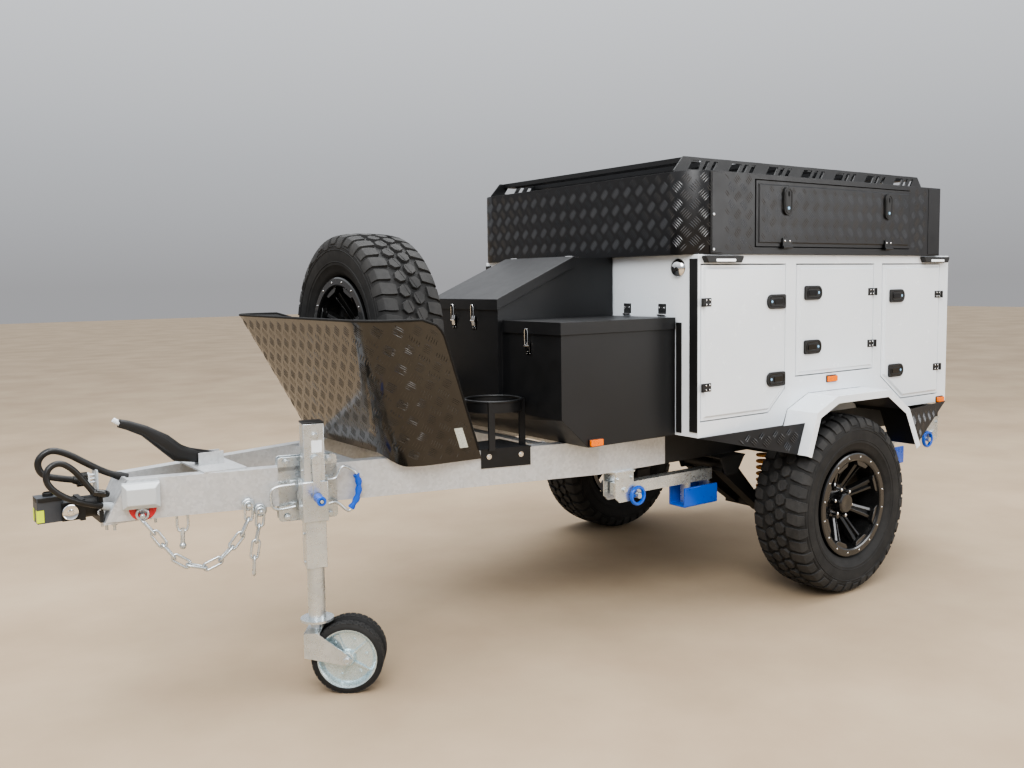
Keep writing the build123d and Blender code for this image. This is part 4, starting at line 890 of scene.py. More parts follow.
def make_lever():
    tip = Build()
    tip.rod((-1.8145, 0, 0.957), (-1.836, 0, 0.972), 0.009, end_radius=0.0085)
    tip.make("lever_tip", "white", "brake_lever_body", bevel=0.001)
    sleeve = Build()
    stations = [(-1.498, 0.809, 0.017, 0.016), (-1.560, 0.816, 0.022, 0.017), (-1.625, 0.834, 0.030, 0.024),
                (-1.675, 0.880, 0.028, 0.024), (-1.735, 0.924, 0.019, 0.020), (-1.790, 0.949, 0.016, 0.017),
                (-1.818, 0.958, 0.014, 0.015)]
    sections = []
    for i, (x, z, tall, wide) in enumerate(stations):
        near, far = stations[max(i - 1, 0)], stations[min(i + 1, len(stations) - 1)]
        run = Vector((far[0] - near[0], 0, far[1] - near[1])).normalized()
        up = Vector((-run.z, 0, run.x))
        section = []
        for angle in (2 * math.pi * k / SLEEVE_STEPS for k in range(SLEEVE_STEPS)):
            bulge = 1.0 + 0.12 * abs(math.sin(2 * angle))
            rise, reach = tall * math.cos(angle) * bulge, wide * math.sin(angle) * bulge * 0.9
            section.append(Vector((x, 0, z)) + up * rise + Y_AXIS * reach)
        sections.append(section)
    sleeve.loft(sections)
    sleeve.make("lever_sleeve", "plastic", "brake_lever_body", smooth=50)


# Stone guard: bent sheet with its tread, edge trim and reflectors, and the tread of the deflectors
GUARD_LOW = dict(x_front=-0.985, half_front=0.395, x_back=-0.611, half_back=0.411, z=0.750)
GUARD_HIGH = dict(x_front=-1.170, half_front=0.640, x_back=-0.915, half_back=0.618, z=1.295)
GUARD_BEND, GUARD_CORNER, GUARD_SHEET, GUARD_RISE = 0.150, 0.070, 0.004, 0.600
BEND_STEPS = 16
# station of the guard's middle, how far its foot is raised, and the bare margins of its tread
MIDDLE, FOOT_RISE, SIDE_MARGIN, END_MARGIN = 1.0, 0.057, 0.014, 0.012


def guard_section(share):
    """Outer line of the guard at a share of its height, from the left rear edge round to the right one."""
    xf, hf, xb, hb, z = (GUARD_LOW[k] + share * (GUARD_HIGH[k] - GUARD_LOW[k])
                         for k in ("x_front", "half_front", "x_back", "half_back", "z"))
    left = Vector((xf - xb, -(hf - hb), 0)).normalized()
    turn = math.pi / 2 + math.asin(left.y)
    corner = Vector((xf, -hf, z))
    inward = Vector((left.y, -left.x, 0))
    reach = GUARD_BEND * math.tan(turn / 2)
    start = corner - left * reach
    centre = start + inward * GUARD_BEND
    line = [(Vector((xb, -hb, z)), -inward)]
    for k in range(BEND_STEPS + 1):
        angle = turn * k / BEND_STEPS
        normal = -inward * math.cos(angle) + left * math.sin(angle)
        line.append((centre + normal * GUARD_BEND, normal))
    mirror = [(Vector((p.x, -p.y, p.z)), Vector((n.x, -n.y, 0))) for p, n in line[::-1]]
    return line + mirror


def guard_surface(u, v):
    """Point and normal of the guard, u along its section and v up its face, both in metres from the left."""
    line = guard_section(v / GUARD_RISE)
    lengths = lengths_along([point for point, _ in line])
    goal = min(max(lengths[-1] / 2 + u - MIDDLE, 0.0), lengths[-1] - 1e-6)
    k = span_at(lengths, goal)
    part = (goal - lengths[k]) / max(lengths[k + 1] - lengths[k], 1e-9)
    point = line[k][0].lerp(line[k + 1][0], part)
    normal = line[k][1].lerp(line[k + 1][1], part).normalized()
    lift = Vector((GUARD_HIGH["x_front"] - GUARD_LOW["x_front"], 0,
                   GUARD_HIGH["z"] - GUARD_LOW["z"])).normalized()
    normal = (normal - lift * normal.dot(lift)).normalized()
    return point, normal


def guard_half(v):
    """Half the developed width of the sheet at v, less where its upper corners are rounded."""
    line = guard_section(v / GUARD_RISE)
    over = max(0.0, v - (GUARD_RISE - GUARD_CORNER))
    cut = GUARD_CORNER - math.sqrt(max(GUARD_CORNER ** 2 - over ** 2, 0.0))
    return lengths_along([point for point, _ in line])[-1] / 2 - cut


def guard_foot(over):
    """Height of the lower edge at a distance from the middle: raised over the rails."""
    share = min(max((over - 0.30) / 0.12, 0.0), 1.0)
    return FOOT_RISE * (1 - share * share * (3 - 2 * share))


def keep_on_guard(u, v):
    over = abs(u - MIDDLE)
    return over < guard_half(v) - SIDE_MARGIN and guard_foot(over) + END_MARGIN < v < GUARD_RISE - END_MARGIN


def guard_point(across, up):
    """Point and normal at shares of the sheet's half width and of its height."""
    v = guard_foot(abs(across) * 0.75) * (1 - up) + GUARD_RISE * up
    return guard_surface(MIDDLE + across * guard_half(v), v)


def make_guard():
    columns, rows = 112, 28
    grid = [[guard_point(2 * i / columns - 1, j / rows) for i in range(columns + 1)] for j in range(rows + 1)]
    verts = [p for row in grid for p, _ in row] + [p - n * GUARD_SHEET for row in grid for p, n in row]
    wide, layer = columns + 1, (columns + 1) * (rows + 1)
    faces = []
    for j in range(rows):
        for i in range(columns):
            k = j * wide + i
            faces += [(k, k + 1, k + 1 + wide, k + wide),
                      (k + layer, k + wide + layer, k + 1 + wide + layer, k + 1 + layer)]
    rim = list(range(wide)) + [j * wide + columns for j in range(1, rows + 1)]
    rim += [rows * wide + i for i in range(columns - 1, -1, -1)] + [j * wide for j in range(rows - 1, 0, -1)]
    faces += [(a, a + layer, b + layer, b) for a, b in zip(rim, rim[1:] + rim[:1])]
    sheet = Build()
    sheet.add(verts, faces)
    obj = sheet.make("guard_sheet", "guard_plate", smooth=40)
    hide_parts("stone_guard")
    tread_plate("tread_guard", guard_surface, 2 * MIDDLE, GUARD_RISE, "chassis", keep_on_guard, "guard_plate",
                lift=0.95)
    edge = [grid[j][0] for j in range(2, rows)] + grid[rows]
    edge += [grid[j][columns] for j in range(rows - 1, 1, -1)]
    trim = Build()
    trim.pipe([p - n * GUARD_SHEET / 2 for p, n in edge], 0.0048, 10)
    trim.make("guard_edge_trim", "seal", smooth=60)
    marks = Build()
    for s in (-1, 1):
        places = [guard_surface(MIDDLE + s * (guard_half(v) - inset), v)
                  for inset, v in ((0.078, 0.060), (0.043, 0.060), (0.043, 0.150), (0.078, 0.150))]
        marks.block(*([point + normal * lift for point, normal in places] for lift in (0.0002, 0.0022)))
    marks.make("guard_reflectors", "reflector")


def make_deflector_tread():
    for name, corners in (("front", ((0.222, -0.742, 0.777), (0.762, -0.850, 0.800), (0.713, -0.850, 0.668))),
                          ("rear", ((2.046, -0.742, 0.777), (1.490, -0.872, 0.792), (1.580, -0.872, 0.622)))):
        for side, s in (("left", 1), ("right", -1)):
            a, b, c = (Vector((x, y * s, z)) for x, y, z in corners)
            across = (b - a).normalized()
            normal = across.cross(c - a).normalized()
            normal = normal if normal.y * s < 0 else -normal
            down = normal.cross(across).normalized()
            down = down if down.z < 0 else -down
            span = (b - a).length
            tip = ((c - a).dot(across), (c - a).dot(down))

            def inside(u, v, span=span, tip=tip):
                if v < 0.010:
                    return False
                left = tip[0] * v / tip[1]
                right = span + (tip[0] - span) * v / tip[1]
                return left + 0.012 < u < right - 0.012

            surface = lambda u, v, a=a, across=across, down=down, normal=normal: (
                a + across * u + down * v + normal * 0.0032, normal)
            tread_plate(f"tread_deflector_{name}_{side}", surface, max(span, tip[0]), tip[1], "chassis",
                        keep=inside)


# Jockey stand: square tube in its sleeve, crank, clamp plates and handles, tread and discs of the twin wheels
JOCKEY_X, JOCKEY_SHIFT, JOCKEY_REACH = -1.269, 0.0258, 0.1024
TUBE_HALF, CRANK_ALONG, PLATE, HANDLE_OUT = 0.036, 0.004, 0.008, 0.030
INWARD = -OUTWARD


def by_jockey(along, out, z):
    """A point by the stand: along the rail from its axis, out from the rail's face, and up."""
    return on_rail(JOCKEY_X, along + JOCKEY_SHIFT, out, z)


def make_jockey():
    tube = Build()
    for half, wall, low, high in ((TUBE_HALF, 0.004, 0.440, 0.945), (0.044, 0.0075, 0.605, 0.745)):
        tube.ring(rectangle(half, half), rectangle(half - wall, half - wall), by_jockey(0, JOCKEY_REACH, low),
                  ALONG, INWARD, high - low)
    tube.prism(rectangle(0.034, 0.034), by_jockey(0, JOCKEY_REACH, 0.936), ALONG, INWARD, 0.008)
    obj = tube.make("jockey_square_tube", "zinc", "jockey_tube_body", bevel=0.0025)
    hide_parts("jockey_tube")
    face = JOCKEY_REACH + TUBE_HALF
    cap = Build()
    cap.prism(rectangle(0.0372, 0.0372), by_jockey(0, JOCKEY_REACH, 0.9445), ALONG, INWARD, 0.005)
    cap.make("jockey_cap", "plastic", "jockey_tube_body", bevel=0.0015)
    label = Build()
    label.prism(rectangle(0.018, 0.021), by_jockey(0.010, face + 0.0001, 0.866), ALONG, Z_AXIS, -0.0006)
    label.make("blank_label", "white", "jockey_tube_body", smooth=0)
    crank = Build()
    crank.rod(by_jockey(CRANK_ALONG, face, 0.822), by_jockey(CRANK_ALONG, face + 0.020, 0.822), 0.015)
    crank.prism([(-0.011, -0.140), (0.011, -0.140), (0.015, 0.0), (-0.015, 0.0)],
                by_jockey(CRANK_ALONG, face + 0.016, 0.828), ALONG, Z_AXIS, -0.008)
    crank.rod(by_jockey(CRANK_ALONG, face + 0.020, 0.694), by_jockey(CRANK_ALONG, face + 0.102, 0.694), 0.006)
    crank.bolt(by_jockey(CRANK_ALONG, face, 0.904), OUTWARD, 0.012)
    for z in (0.46, 0.56, 0.78):
        crank.bolt(by_jockey(-0.036, JOCKEY_REACH + 0.01, z), -ALONG, 0.006)
    crank.make("jockey_crank", "zinc", "jockey_tube_body", bevel=0.001)
    grip = Build()
    profile = [(0.0095, 0.0), (0.0155, 0.003), (0.0165, 0.010), (0.0150, 0.030), (0.0158, 0.060),
               (0.0165, 0.070), (0.0150, 0.074), (0.0085, 0.074), (0.0085, 0.070), (0.0085, 0.004)]
    grip.lathe(profile, by_jockey(CRANK_ALONG, face + 0.024, 0.694), OUTWARD, 32, loop=True)
    grip.make("crank_grip", "blue", "jockey_tube_body", smooth=50)


def make_jockey_clamp():
    plates = Build()
    outline = rounded(0.105, 0.115, 0.012)
    for out, depth in ((0, -PLATE), (-RAIL_WIDTH, PLATE)):
        plates.prism(outline, by_jockey(0, out, 0.697), ALONG, Z_AXIS, depth)
    plates.rod(by_jockey(0, PLATE, 0.675), by_jockey(0, JOCKEY_REACH - 0.046, 0.675), 0.042, 48)
    plates.rod(by_jockey(0, 0.010, 0.770), by_jockey(0, JOCKEY_REACH - 0.050, 0.770), 0.014)
    for along in (-0.075, 0.075):
        for z in (0.598, 0.796):
            plates.bolt(by_jockey(along, PLATE, z), OUTWARD, 0.012)
            plates.rod(by_jockey(along, -RAIL_WIDTH - 0.020, z), by_jockey(along, 0.006, z), 0.007)
    bracket = plates.make("jockey_clamp", "zinc", bevel=0.0015)
    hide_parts("jockey_bracket")
    handles = Build()
    d_line = [(0.063, 0.726), (0.095, 0.730), (0.122, 0.768), (0.165, 0.742), (0.176, 0.700), (0.165, 0.645),
              (0.138, 0.606), (0.095, 0.640), (0.063, 0.637)]
    handles.pipe([by_jockey(a, HANDLE_OUT, z) for a, z in smooth_line(d_line)], 0.0052)
    u_line = [(-0.050, 0.718), (-0.110, 0.714), (-0.134, 0.698), (-0.131, 0.650), (-0.108, 0.634),
              (-0.050, 0.640)]
    handles.pipe([by_jockey(a, HANDLE_OUT, z) for a, z in smooth_line(u_line)], 0.005)
    for along, z in ((0.060, 0.726), (0.060, 0.637), (-0.052, 0.718), (-0.052, 0.640)):
        handles.box_at(by_jockey(along, PLATE, z), ALONG, Z_AXIS, 0.024, 0.020, 0.028)
    handles.make("clamp_handles", "zinc", bevel=0.0008, smooth=60)
    hold = Build()
    arc = smooth_line([(0.168, 0.736), (0.177, 0.700), (0.169, 0.652), (0.146, 0.615)], 10)
    centres = [by_jockey(a, HANDLE_OUT, z) for a, z in arc]
    for i, (near, far) in enumerate(zip(centres, centres[1:])):
        swell = 0.0108 + 0.0018 * math.cos(i * math.pi / 3.5)
        hold.rod(near, far + (far - near) * 0.15, swell, 18)
    for at, toward in ((centres[0], centres[1]), (centres[-1], centres[-2])):
        hold.rod(at, at + (toward - at).normalized() * 0.004, 0.0125, 18)
    hold.make("finger_grip", "blue", smooth=60)


JOCKEY_WHEEL_AT = Vector((-1.178893, -0.401093, 0.125))
JOCKEY_AXLE = Vector((0.573576, 0.819152, 0))
JOCKEY_WHEEL_R, JOCKEY_WHEEL_SHIFT = 0.125, 0.038
JOCKEY_LUGS = 36


def make_jockey_wheels():
    tyres, lugs, discs = Build(), Build(), Build()
    for s in (-1, 1):
        centre = JOCKEY_WHEEL_AT + JOCKEY_AXLE * s * JOCKEY_WHEEL_SHIFT
        out = JOCKEY_AXLE * s
        base = JOCKEY_WHEEL_R - 0.0022
        tyres.lathe([(0.100, -0.021), (0.104, -0.023), (0.114, -0.022), (base - 0.001, -0.018),
                     (base, -0.014), (base, 0.014), (base - 0.001, 0.018), (0.114, 0.022), (0.104, 0.023),
                     (0.100, 0.021)],
                    centre, out, 96, loop=True)
        for i in range(JOCKEY_LUGS):
            for row, (y0, y1) in enumerate(((-0.0185, -0.0075), (-0.0055, 0.0055), (0.0075, 0.0185))):
                a0 = 2 * math.pi * (i + 0.5 * (row % 2)) / JOCKEY_LUGS
                a1 = a0 + 2 * math.pi * 0.80 / JOCKEY_LUGS
                lugs.block(*([centre + turned(JOCKEY_AXLE, a) * r + out * y
                              for a, y in ((a0, y0), (a1, y0), (a1, y1), (a0, y1))]
                             for r in (base - 0.001, JOCKEY_WHEEL_R)))
        discs.lathe([(0.0090, -0.036), (0.018, -0.036), (0.020, -0.002), (0.090, -0.004), (0.098, 0.016),
                     (0.101, 0.0215), (0.104, 0.0225), (0.1035, 0.0240), (0.0985, 0.0225), (0.094, 0.0165),
                     (0.087, 0.001), (0.030, 0.004), (0.026, 0.020), (0.022, 0.026), (0.0090, 0.026)],
                    centre, out, 72, loop=True)
        for ray in rays(JOCKEY_AXLE, 5):
            discs.prism([(0.024, 0.0), (0.088, 0.0), (0.088, 0.005), (0.024, 0.015)],
                        centre + out.cross(ray) * 0.0025 + out * 0.001, ray, out, 0.005)
        for ray in rays(JOCKEY_AXLE, 6, 0.5):
            discs.bolt(centre + ray * 0.066 + out * 0.002, out, 0.0065)
    tyre = tyres.make("jockey_tyres", "tyre", "jockey_wheels_body", smooth=45)
    lugs.make("jockey_tread", "tread", "jockey_wheels_body", smooth=25)
    discs.make("jockey_discs", "blue_zinc", "jockey_wheels_body", smooth=35)
    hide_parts("jockey_wheels")
    nuts = Build()
    for s in (-1, 1):
        nuts.bolt(JOCKEY_WHEEL_AT + JOCKEY_AXLE * s * 0.0718, JOCKEY_AXLE * s, 0.013)
    nuts.make("jockey_axle_nuts", "zinc", "jockey_fork_body")


# Drop-down stands, blue shoes and pull rings: pivot x, y and z, direction, and length of the leg
STANDS = {"front": (0.010, 0.497, 0.562, 1, 0.535), "rear": (1.975, 0.680, 0.620, -1, 0.462)}
CHANNEL = [(-0.0485, -0.041), (-0.0485, -0.121), (-0.0445, -0.1265), (0.0445, -0.1265), (0.0485, -0.121),
           (0.0485, -0.041), (0.0385, -0.041), (0.0385, -0.117), (-0.0385, -0.117), (-0.0385, -0.041)]


def make_stands():
    for name, (x, y, z, turn, reach) in STANDS.items():
        for side, s in SIDES:
            out = Vector((0, s, 0))
            middle = Vector((x + turn * (reach - 0.092), s * y, z))
            shoe = Build()
            shoe.prism(CHANNEL, middle - X_AXIS * 0.102, Y_AXIS, Z_AXIS, 0.204)
            shoe.make(f"stand_shoe_{side}_{name}", "blue", f"stand_leg_{side}_{name}_body", bevel=0.004)
            knob = Build()
            at = Vector((x + turn * 0.062, s * (y + 0.0385), z - 0.030))
            knob.lathe([(0.028, 0.008), (0.031, 0.003), (0.038, 0.003), (0.042, 0.008), (0.042, 0.014),
                        (0.038, 0.019), (0.031, 0.019), (0.028, 0.014)], at, out, 40, loop=True)
            knob.box_at(at + out * 0.007, X_AXIS, Z_AXIS * -s, 0.062, 0.012, 0.008)
            knob.make(f"stand_knob_{side}_{name}", "blue", smooth=40)
            pins = Build()
            pins.rod((x, s * (y - 0.046), z), (x, s * (y + 0.046), z), 0.010)
            pins.rod(at, at + out * 0.024, 0.011)
            for dx in (-0.038, 0.038):
                pins.bolt(Vector((x + dx, s * (y + 0.038), z + 0.048)), out, 0.008)
            pins.make(f"stand_pins_{side}_{name}", "zinc")


# Doors: hinge x, hinge heights, lock x, lock heights and the way from hinge to lock
DOORS = {
    "front": (0.234, (1.325, 0.981), 0.690, (1.318, 0.986), 1),
    "middle": (1.410, (1.348, 1.106), 0.940, (1.351, 1.112), -1),
    "rear": (1.973, (1.325, 0.960), 1.585, (1.325, 0.966), -1),
}
HINGE_FACE = 0.753
TOP_DOOR_HINGES, TOP_DOOR_LOCKS = (0.735, 1.479), (0.737, 1.473)


def make_door_details():
    for side, s in SIDES:
        out, down = Vector((0, s, 0)), Z_AXIS * -s
        for name, (hinge_x, hinge_z, lock_x, lock_z, turn) in DOORS.items():
            body = f"door_{side}_{name}_body"
            screws, dots, bezels, plates = Build(), Build(), Build(), Build()
            for z in hinge_z:
                plates.box_at(Vector((hinge_x + turn * 0.0305, s * (DOOR_FACE + 0.002), z)), X_AXIS, down,
                              0.049, 0.034, 0.004)
                plates.box_at(Vector((hinge_x + turn * 0.042, s * DOOR_FACE, z)), X_AXIS, down, 0.020, 0.034,
                              0.004)
                plates.rod((hinge_x, s * HINGE_FACE, z - 0.017), (hinge_x, s * HINGE_FACE, z + 0.017), 0.006)
                for dx in (0.022, 0.042):
                    for dz in (-0.009, 0.009):
                        screws.dome(Vector((hinge_x + turn * dx, s * HINGE_FACE, z + dz)), out, 0.0036,
                                    0.0022)
            for z in lock_z:
                at = Vector((lock_x, s * LOCK_FACE, z))
                d_shape = [wide if wide[0] * turn < 0 else tight
                           for wide, tight in zip(rounded(0.059, 0.031, 0.028), rounded(0.059, 0.031, 0.010))]
                plates.prism(d_shape, at - out * (LOCK_FACE - DOOR_FACE), X_AXIS, down, 0.009)
                bezels.ring(rounded(0.050, 0.024, 0.019), rounded(0.045, 0.019, 0.015), at, X_AXIS, down,
                            0.0016)
                bezels.prism(rounded(0.028, 0.012, 0.005), at + X_AXIS * turn * 0.010, X_AXIS, down, 0.003)
                dots.dome(at - X_AXIS * turn * 0.034, out, 0.0058, 0.0025)
            obj = plates.make(f"lock_and_hinge_plates_{side}_{name}", "plastic", body, bevel=0.001)
            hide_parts(f"hardware_{side}_{name}")
            screws.make(f"hinge_screws_{side}_{name}", "chrome", body)
            bezels.make(f"lock_bezels_{side}_{name}", "glossy_black", body, bevel=0.0006)
            dots.make(f"lock_dots_{side}_{name}", "dot_blue", body)
        body = f"top_door_{side}_body"
        locks, shine, dots = Build(), Build(), Build()
        for x in TOP_DOOR_LOCKS:
            at = Vector((x, s * TOP_DOOR_FACE, 1.742))
            locks.prism(rounded(0.028, 0.0595, 0.0279), at, X_AXIS, Z_AXIS, -0.010 * s)
            locks.ring(rounded(0.022, 0.0525, 0.0219), rounded(0.018, 0.0485, 0.0179), at + out * 0.010,
                       X_AXIS, Z_AXIS, -0.002 * s)
            locks.box_at(at + out * 0.010 + Z_AXIS * 0.030, X_AXIS, Z_AXIS, 0.010, 0.022, 0.003)
            dots.dome(at + out * 0.010 - Z_AXIS * 0.030, out, 0.0068, 0.003)
        for x in TOP_DOOR_HINGES:
            locks.box_at(Vector((x, s * TOP_DOOR_FACE, 1.572)), X_AXIS, Z_AXIS, 0.050, 0.026, 0.006)
            for dx in (-0.016, 0.016):
                shine.dome(Vector((x + dx, s * (TOP_DOOR_FACE + 0.006), 1.574)), out, 0.0045, 0.003)
        locks.make(f"top_door_locks_{side}", "plastic", body, bevel=0.001)
        dots.make(f"top_door_dots_{side}", "dot_blue", body)
        shine.make(f"top_door_screws_{side}", "chrome", body)


# Trim of the body and the top box, a painted shadow beside each front box, and the lamps
def make_trim():
    strips, edges, rivets, domes = Build(), Build(), Build(), Build()
    trim_face, trim = TOP_HALF + 0.0001, 0.0022
    for s in (-1, 1):
        out = Vector((0, s, 0))
        # A black corner strip on the body's front edge, then a dark strip on the body's front face beside
        # each front box: that box's side shadow, painted.
        for x, inner, outer, low, high in ((0.2155, 0.697, 0.739, 0.800, 1.500),
                                           (0.2165, 0.622, 0.652, 0.790, 1.243)):
            y0, y1 = sorted((s * inner, s * outer))
            strips.box((x, y0, low), (BODY_FRONT - 0.0001, y1, high))
        strips.box_at(Vector((0.2955, s * trim_face, 1.682)), X_AXIS, Z_AXIS, 0.044, 0.326, trim)
        for z in (1.675, 1.536):
            rivets.dome(Vector((0.290, s * (trim_face + trim), z)), out, 0.0055, 0.003)
        edges.ring(rectangle(0.5600, 0.1360), rectangle(0.5575, 0.1335),
                   Vector((1.104, s * trim_face, 1.6865)), X_AXIS, Z_AXIS, -trim * s)
        domes.lathe([(0.039, 0), (0.036, 0.008), (0.027, 0.016), (0.013, 0.020), (0.002, 0.021)],
                    Vector((BODY_FRONT, s * 0.632, 1.464)), -X_AXIS, 40)
    strips.make("corner_strips_and_painted_shadow", "plastic", slot="black_satin", bevel=0.0008)
    edges.make("top_door_edges", "plastic", slot="black_satin")
    rivets.make("strip_rivets", "white")
    domes.make("dome_lamps", "chrome", smooth=60)


def make_holder_details():
    beads, bolts = Build(), Build()
    bead = [(0.1095 + 0.0055 * math.cos(math.pi * k / 4), 0.0055 * math.sin(math.pi * k / 4))
            for k in range(8)]
    for s in (-1, 1):
        beads.lathe(bead, Vector((-0.507, s * 0.345, 0.963)), Z_AXIS, 64, loop=True)
    for along in (-0.070, 0.062):
        bolts.bolt(on_rail(-0.507, along, 0.004, 0.752), OUTWARD, 0.010)
    beads.make("holder_beads", "satin", smooth=60)
    bolts.make("holder_bolts", "chrome", slot="zinc")


def make_lamps():
    housings, leds, ambers, bezels = Build(), Build(), Build(), Build()
    for s in (-1, 1):
        for x in (0.352, 1.905):
            at = Vector((x, s * BODY_HALF, 1.497))
            housings.prism([(-0.100, -0.014), (0.100, -0.014), (0.112, 0.006), (0.112, 0.014),
                            (-0.112, 0.014), (-0.112, 0.006)], at, X_AXIS, Z_AXIS, -0.026 * s)
            leds.prism(rounded(0.058, 0.0055, 0.004), at + Vector((0.004, s * 0.0259, -0.004)), X_AXIS,
                       Z_AXIS, -0.0012 * s)
        for x, z, y, wide in ((1.091, 0.960, BODY_HALF, 0.066), (1.993, 0.790, BODY_HALF, 0.056),
                              (-0.220, 0.795, 0.620, 0.062)):
            at = Vector((x, s * y, z))
            bezels.prism(rounded(wide / 2 + 0.004, 0.0165, 0.005), at, X_AXIS, Z_AXIS, -0.004 * s)
            ambers.prism(rounded(wide / 2, 0.0125, 0.004), at + Vector((0, s * 0.003, 0)), X_AXIS, Z_AXIS,
                         -0.010 * s)
        at = Vector((2.0738, s * 0.672, 0.960))
        bezels.ring(rounded(0.0505, 0.1125, 0.006), rounded(0.044, 0.106, 0.004), at, Y_AXIS, Z_AXIS, 0.003)
        for z in (-0.037, 0.037):
            bezels.box_at(at + Z_AXIS * z, Y_AXIS, Z_AXIS, 0.090, 0.004, -0.0025)
        ambers.box_at(at + Z_AXIS * 0.072, Y_AXIS, Z_AXIS, 0.086, 0.062, -0.0012)
    lamp = housings.make("camp_lamp_housings", "plastic", bevel=0.003)
    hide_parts("camp_lamps")
    leds.make("camp_lamp_strips", "led", bevel=0.0005)
    ambers.make("amber_markers", "amber", bevel=0.0015)
    bezels.make("marker_bezels", "plastic", bevel=0.001)


# Black liners under the mudguards and in the wheel boxes
LINER = [(0.727, 0.668), (0.768, 0.782), (0.791, 0.840), (0.930, 0.899), (1.310, 0.897), (1.468, 0.799),
         (1.478, 0.782), (1.561, 0.624)]


def make_liners():
    liners = Build()
    for s in (-1, 1):
        for line, inner, outer in ((LINER, 0.742, 0.890), (LINER[1:-1], 0.612, 0.742)):
            under = [(x + (0.002 if x < 1.1 else -0.002), z - 0.002) for x, z in reversed(line)]
            liners.prism(line + under, Vector((0, s * inner, 0)), X_AXIS, Z_AXIS, s * (inner - outer))
    liners.make("arch_liners", "satin", smooth=0)


# Front boxes: wire latches and strap hinges
STRAP_HALF = 0.023


def make_box_hardware():
    metal = Build()
    lids = {"lid_middle_body": Build(), "lid_left_body": Build(), "lid_right_body": Build()}
    for s in (-1, 1):
        side_lid = "lid_left_body" if s < 0 else "lid_right_body"
        for x, y, z, lid in ((-0.407, 0.076, 1.275, "lid_middle_body"), (-0.386, 0.420, 1.185, side_lid)):
            at = Vector((x, s * y, z))
            metal.box_at(at + Z_AXIS * -0.030, Y_AXIS, Z_AXIS, 0.030, 0.046, -0.002)
            lids[lid].box_at(at + Vector((-0.0078, 0, 0.043)), Y_AXIS, Z_AXIS, 0.028, 0.020, -0.0035)
            loop = [(-0.009, -0.014), (-0.010, 0.040), (-0.006, 0.050), (0.006, 0.050), (0.010, 0.040),
                    (0.009, -0.014)]
            metal.pipe([at + Y_AXIS * a + Z_AXIS * b - X_AXIS * 0.0135 for a, b in loop], 0.0019, 8)
            metal.prism([(-0.002, -0.022), (-0.007, -0.018), (-0.0095, 0.004), (-0.006, 0.022),
                         (-0.0035, 0.022), (-0.005, 0.0), (-0.002, -0.012)],
                        at + Y_AXIS * -0.011 + Z_AXIS * -0.018, X_AXIS, Z_AXIS, -0.022)
            metal.rod(at + Vector((-0.0105, -0.014, -0.016)), at + Vector((-0.0105, 0.014, -0.016)), 0.0035)
            for dy in (-0.009, 0.009):
                metal.dome(at + Vector((-0.002, dy, -0.047)), -X_AXIS, 0.0034, 0.002)
        for y in (0.330, 0.540):
            at = Vector((0.2199, s * y, 1.293))
            metal.box_at(at, Y_AXIS, Z_AXIS, 2 * STRAP_HALF, 0.050, -0.004)
            metal.rod(at + Vector((-0.004, -STRAP_HALF, -0.021)), at + Vector((-0.004, STRAP_HALF, -0.021)),
                      0.0045)
            for dy in (-0.014, 0.014):
                metal.dome(at + Vector((-0.004, dy, 0.008)), -X_AXIS, 0.0042, 0.0025)
        y0, y1 = s * 0.200 - STRAP_HALF, s * 0.200 + STRAP_HALF
        metal.box((0.003, y0, 1.5172), (0.043, y1, 1.5212))
        metal.rod((0.004, y0, 1.5205), (0.004, y1, 1.5205), 0.0045)
    obj = metal.make("box_latches_and_hinges", "chrome", smooth=35)
    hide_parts("lid_hardware")
    for lid, keepers in lids.items():
        keepers.make(f"latch_keepers_{lid}", "chrome", lid, bevel=0.0006)


# Coil springs
SPRING_AT, SPRING_R, SPRING_WIRE, SPRING_TURNS = (0.905, 0.545, 0.440), 0.052, 0.0075, 6
SPRING_HEIGHT, TURN_STEPS = 0.188, 24


def make_springs():
    coil = Build()
    x, y, z = SPRING_AT
    for s in (-1, 1):
        points = []
        for i in range(SPRING_TURNS * TURN_STEPS + 1):
            angle = 2 * math.pi * i / TURN_STEPS
            rise = SPRING_WIRE + (SPRING_HEIGHT - 2 * SPRING_WIRE) * i / (SPRING_TURNS * TURN_STEPS)
            points.append((x + SPRING_R * math.cos(angle), s * y + SPRING_R * math.sin(angle), z + rise))
        coil.pipe(points, SPRING_WIRE, 12)
    obj = coil.make("spring_coils", "gold", smooth=60)
    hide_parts("coil_springs")


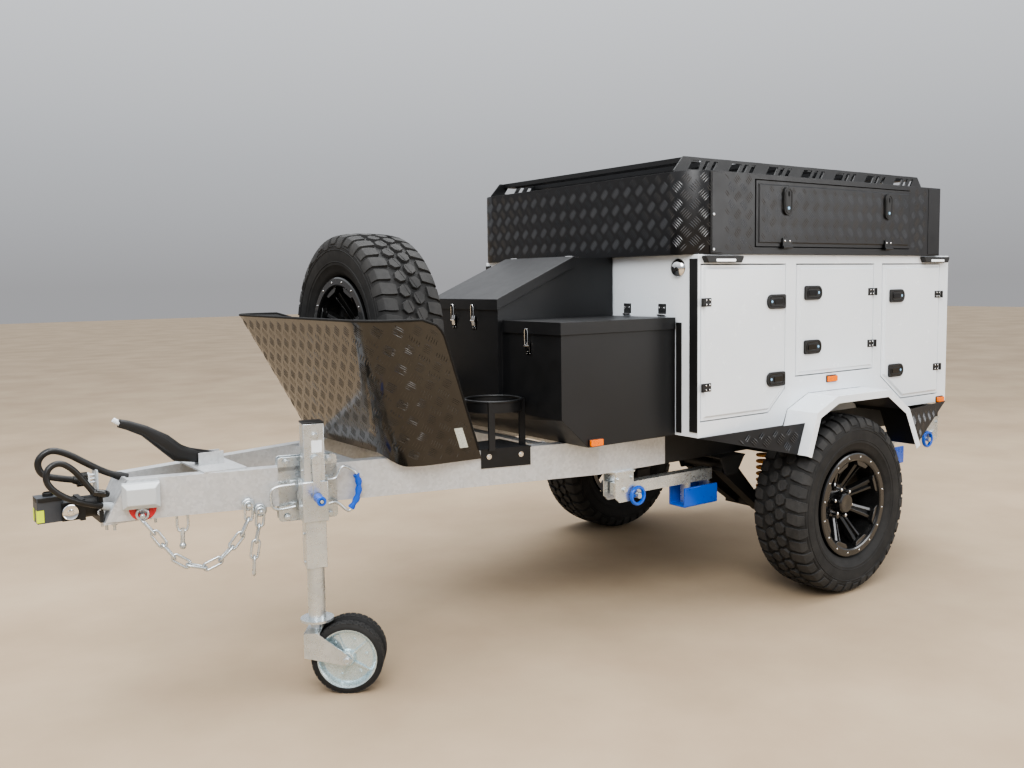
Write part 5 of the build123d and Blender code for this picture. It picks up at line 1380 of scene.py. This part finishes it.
# Floor, light and sky
def make_stage():
    mesh = bpy.data.meshes.new("floor")
    mesh.from_pydata([(-40, -40, 0), (40, -40, 0), (40, 40, 0), (-40, 40, 0)], [], [(0, 1, 2, 3)])
    floor = bpy.data.objects.new("floor", mesh)
    bpy.context.scene.collection.objects.link(floor)
    mat, tree, shader = new_material("pale_floor")
    tree.links.new(ramp(tree, noise(tree, 1.2, 6.0), [(0.3, (0.36, 0.27, 0.18)), (0.7, (0.45, 0.35, 0.24))]),
                   shader.inputs["Base Color"])
    set_inputs(shader, Roughness=0.8)
    mesh.materials.append(mat)
    world = bpy.data.worlds.new("sky")
    bpy.context.scene.world = world
    world.use_nodes = True
    tree = world.node_tree
    back = tree.nodes["Background"]
    place = tree.nodes.new("ShaderNodeTexCoord")
    split = tree.nodes.new("ShaderNodeSeparateXYZ")
    tree.links.new(place.outputs["Generated"], split.inputs["Vector"])
    sky = ramp(tree, split.outputs["Z"], [(0.0, (0.30, 0.30, 0.31)), (0.12, (0.42, 0.43, 0.45)),
                                          (0.55, (0.95, 0.97, 1.0))])
    tree.links.new(sky, back.inputs["Color"])
    set_inputs(back, Strength=1.0)
    for name, at, aim, size, power in (
        ("key", (-4.5, -5.0, 6.0), (0.0, 0.0, 0.8), 5.0, 420),
        ("overhead", (0.5, 0.5, 7.0), (0.3, 0.0, 0.0), 7.0, 420),
        ("side", (5.0, -6.0, 3.0), (0.8, -0.5, 0.9), 4.0, 140),
    ):
        light = bpy.data.lights.new(name, "AREA")
        light.shape = "DISK"
        light.size = size
        light.energy = power
        lamp = bpy.data.objects.new(name, light)
        lamp.location = at
        lamp.rotation_euler = (Vector(aim) - Vector(at)).to_track_quat("-Z", "Y").to_euler()
        bpy.context.scene.collection.objects.link(lamp)
    bpy.context.scene.view_settings.view_transform = "AgX"
    bpy.context.scene.view_settings.look = "AgX - Medium High Contrast"
    bpy.context.scene.view_settings.exposure = 0.25


make_camera()
make_stage()
dress_nodes()
plate_on_top_box()
make_wheels()
make_conduits()
make_chain()
make_nose()
make_lever()
make_guard()
make_deflector_tread()
make_jockey()
make_jockey_clamp()
make_jockey_wheels()
make_stands()
make_door_details()
make_holder_details()
make_trim()
make_lamps()
make_liners()
make_box_hardware()
make_springs()
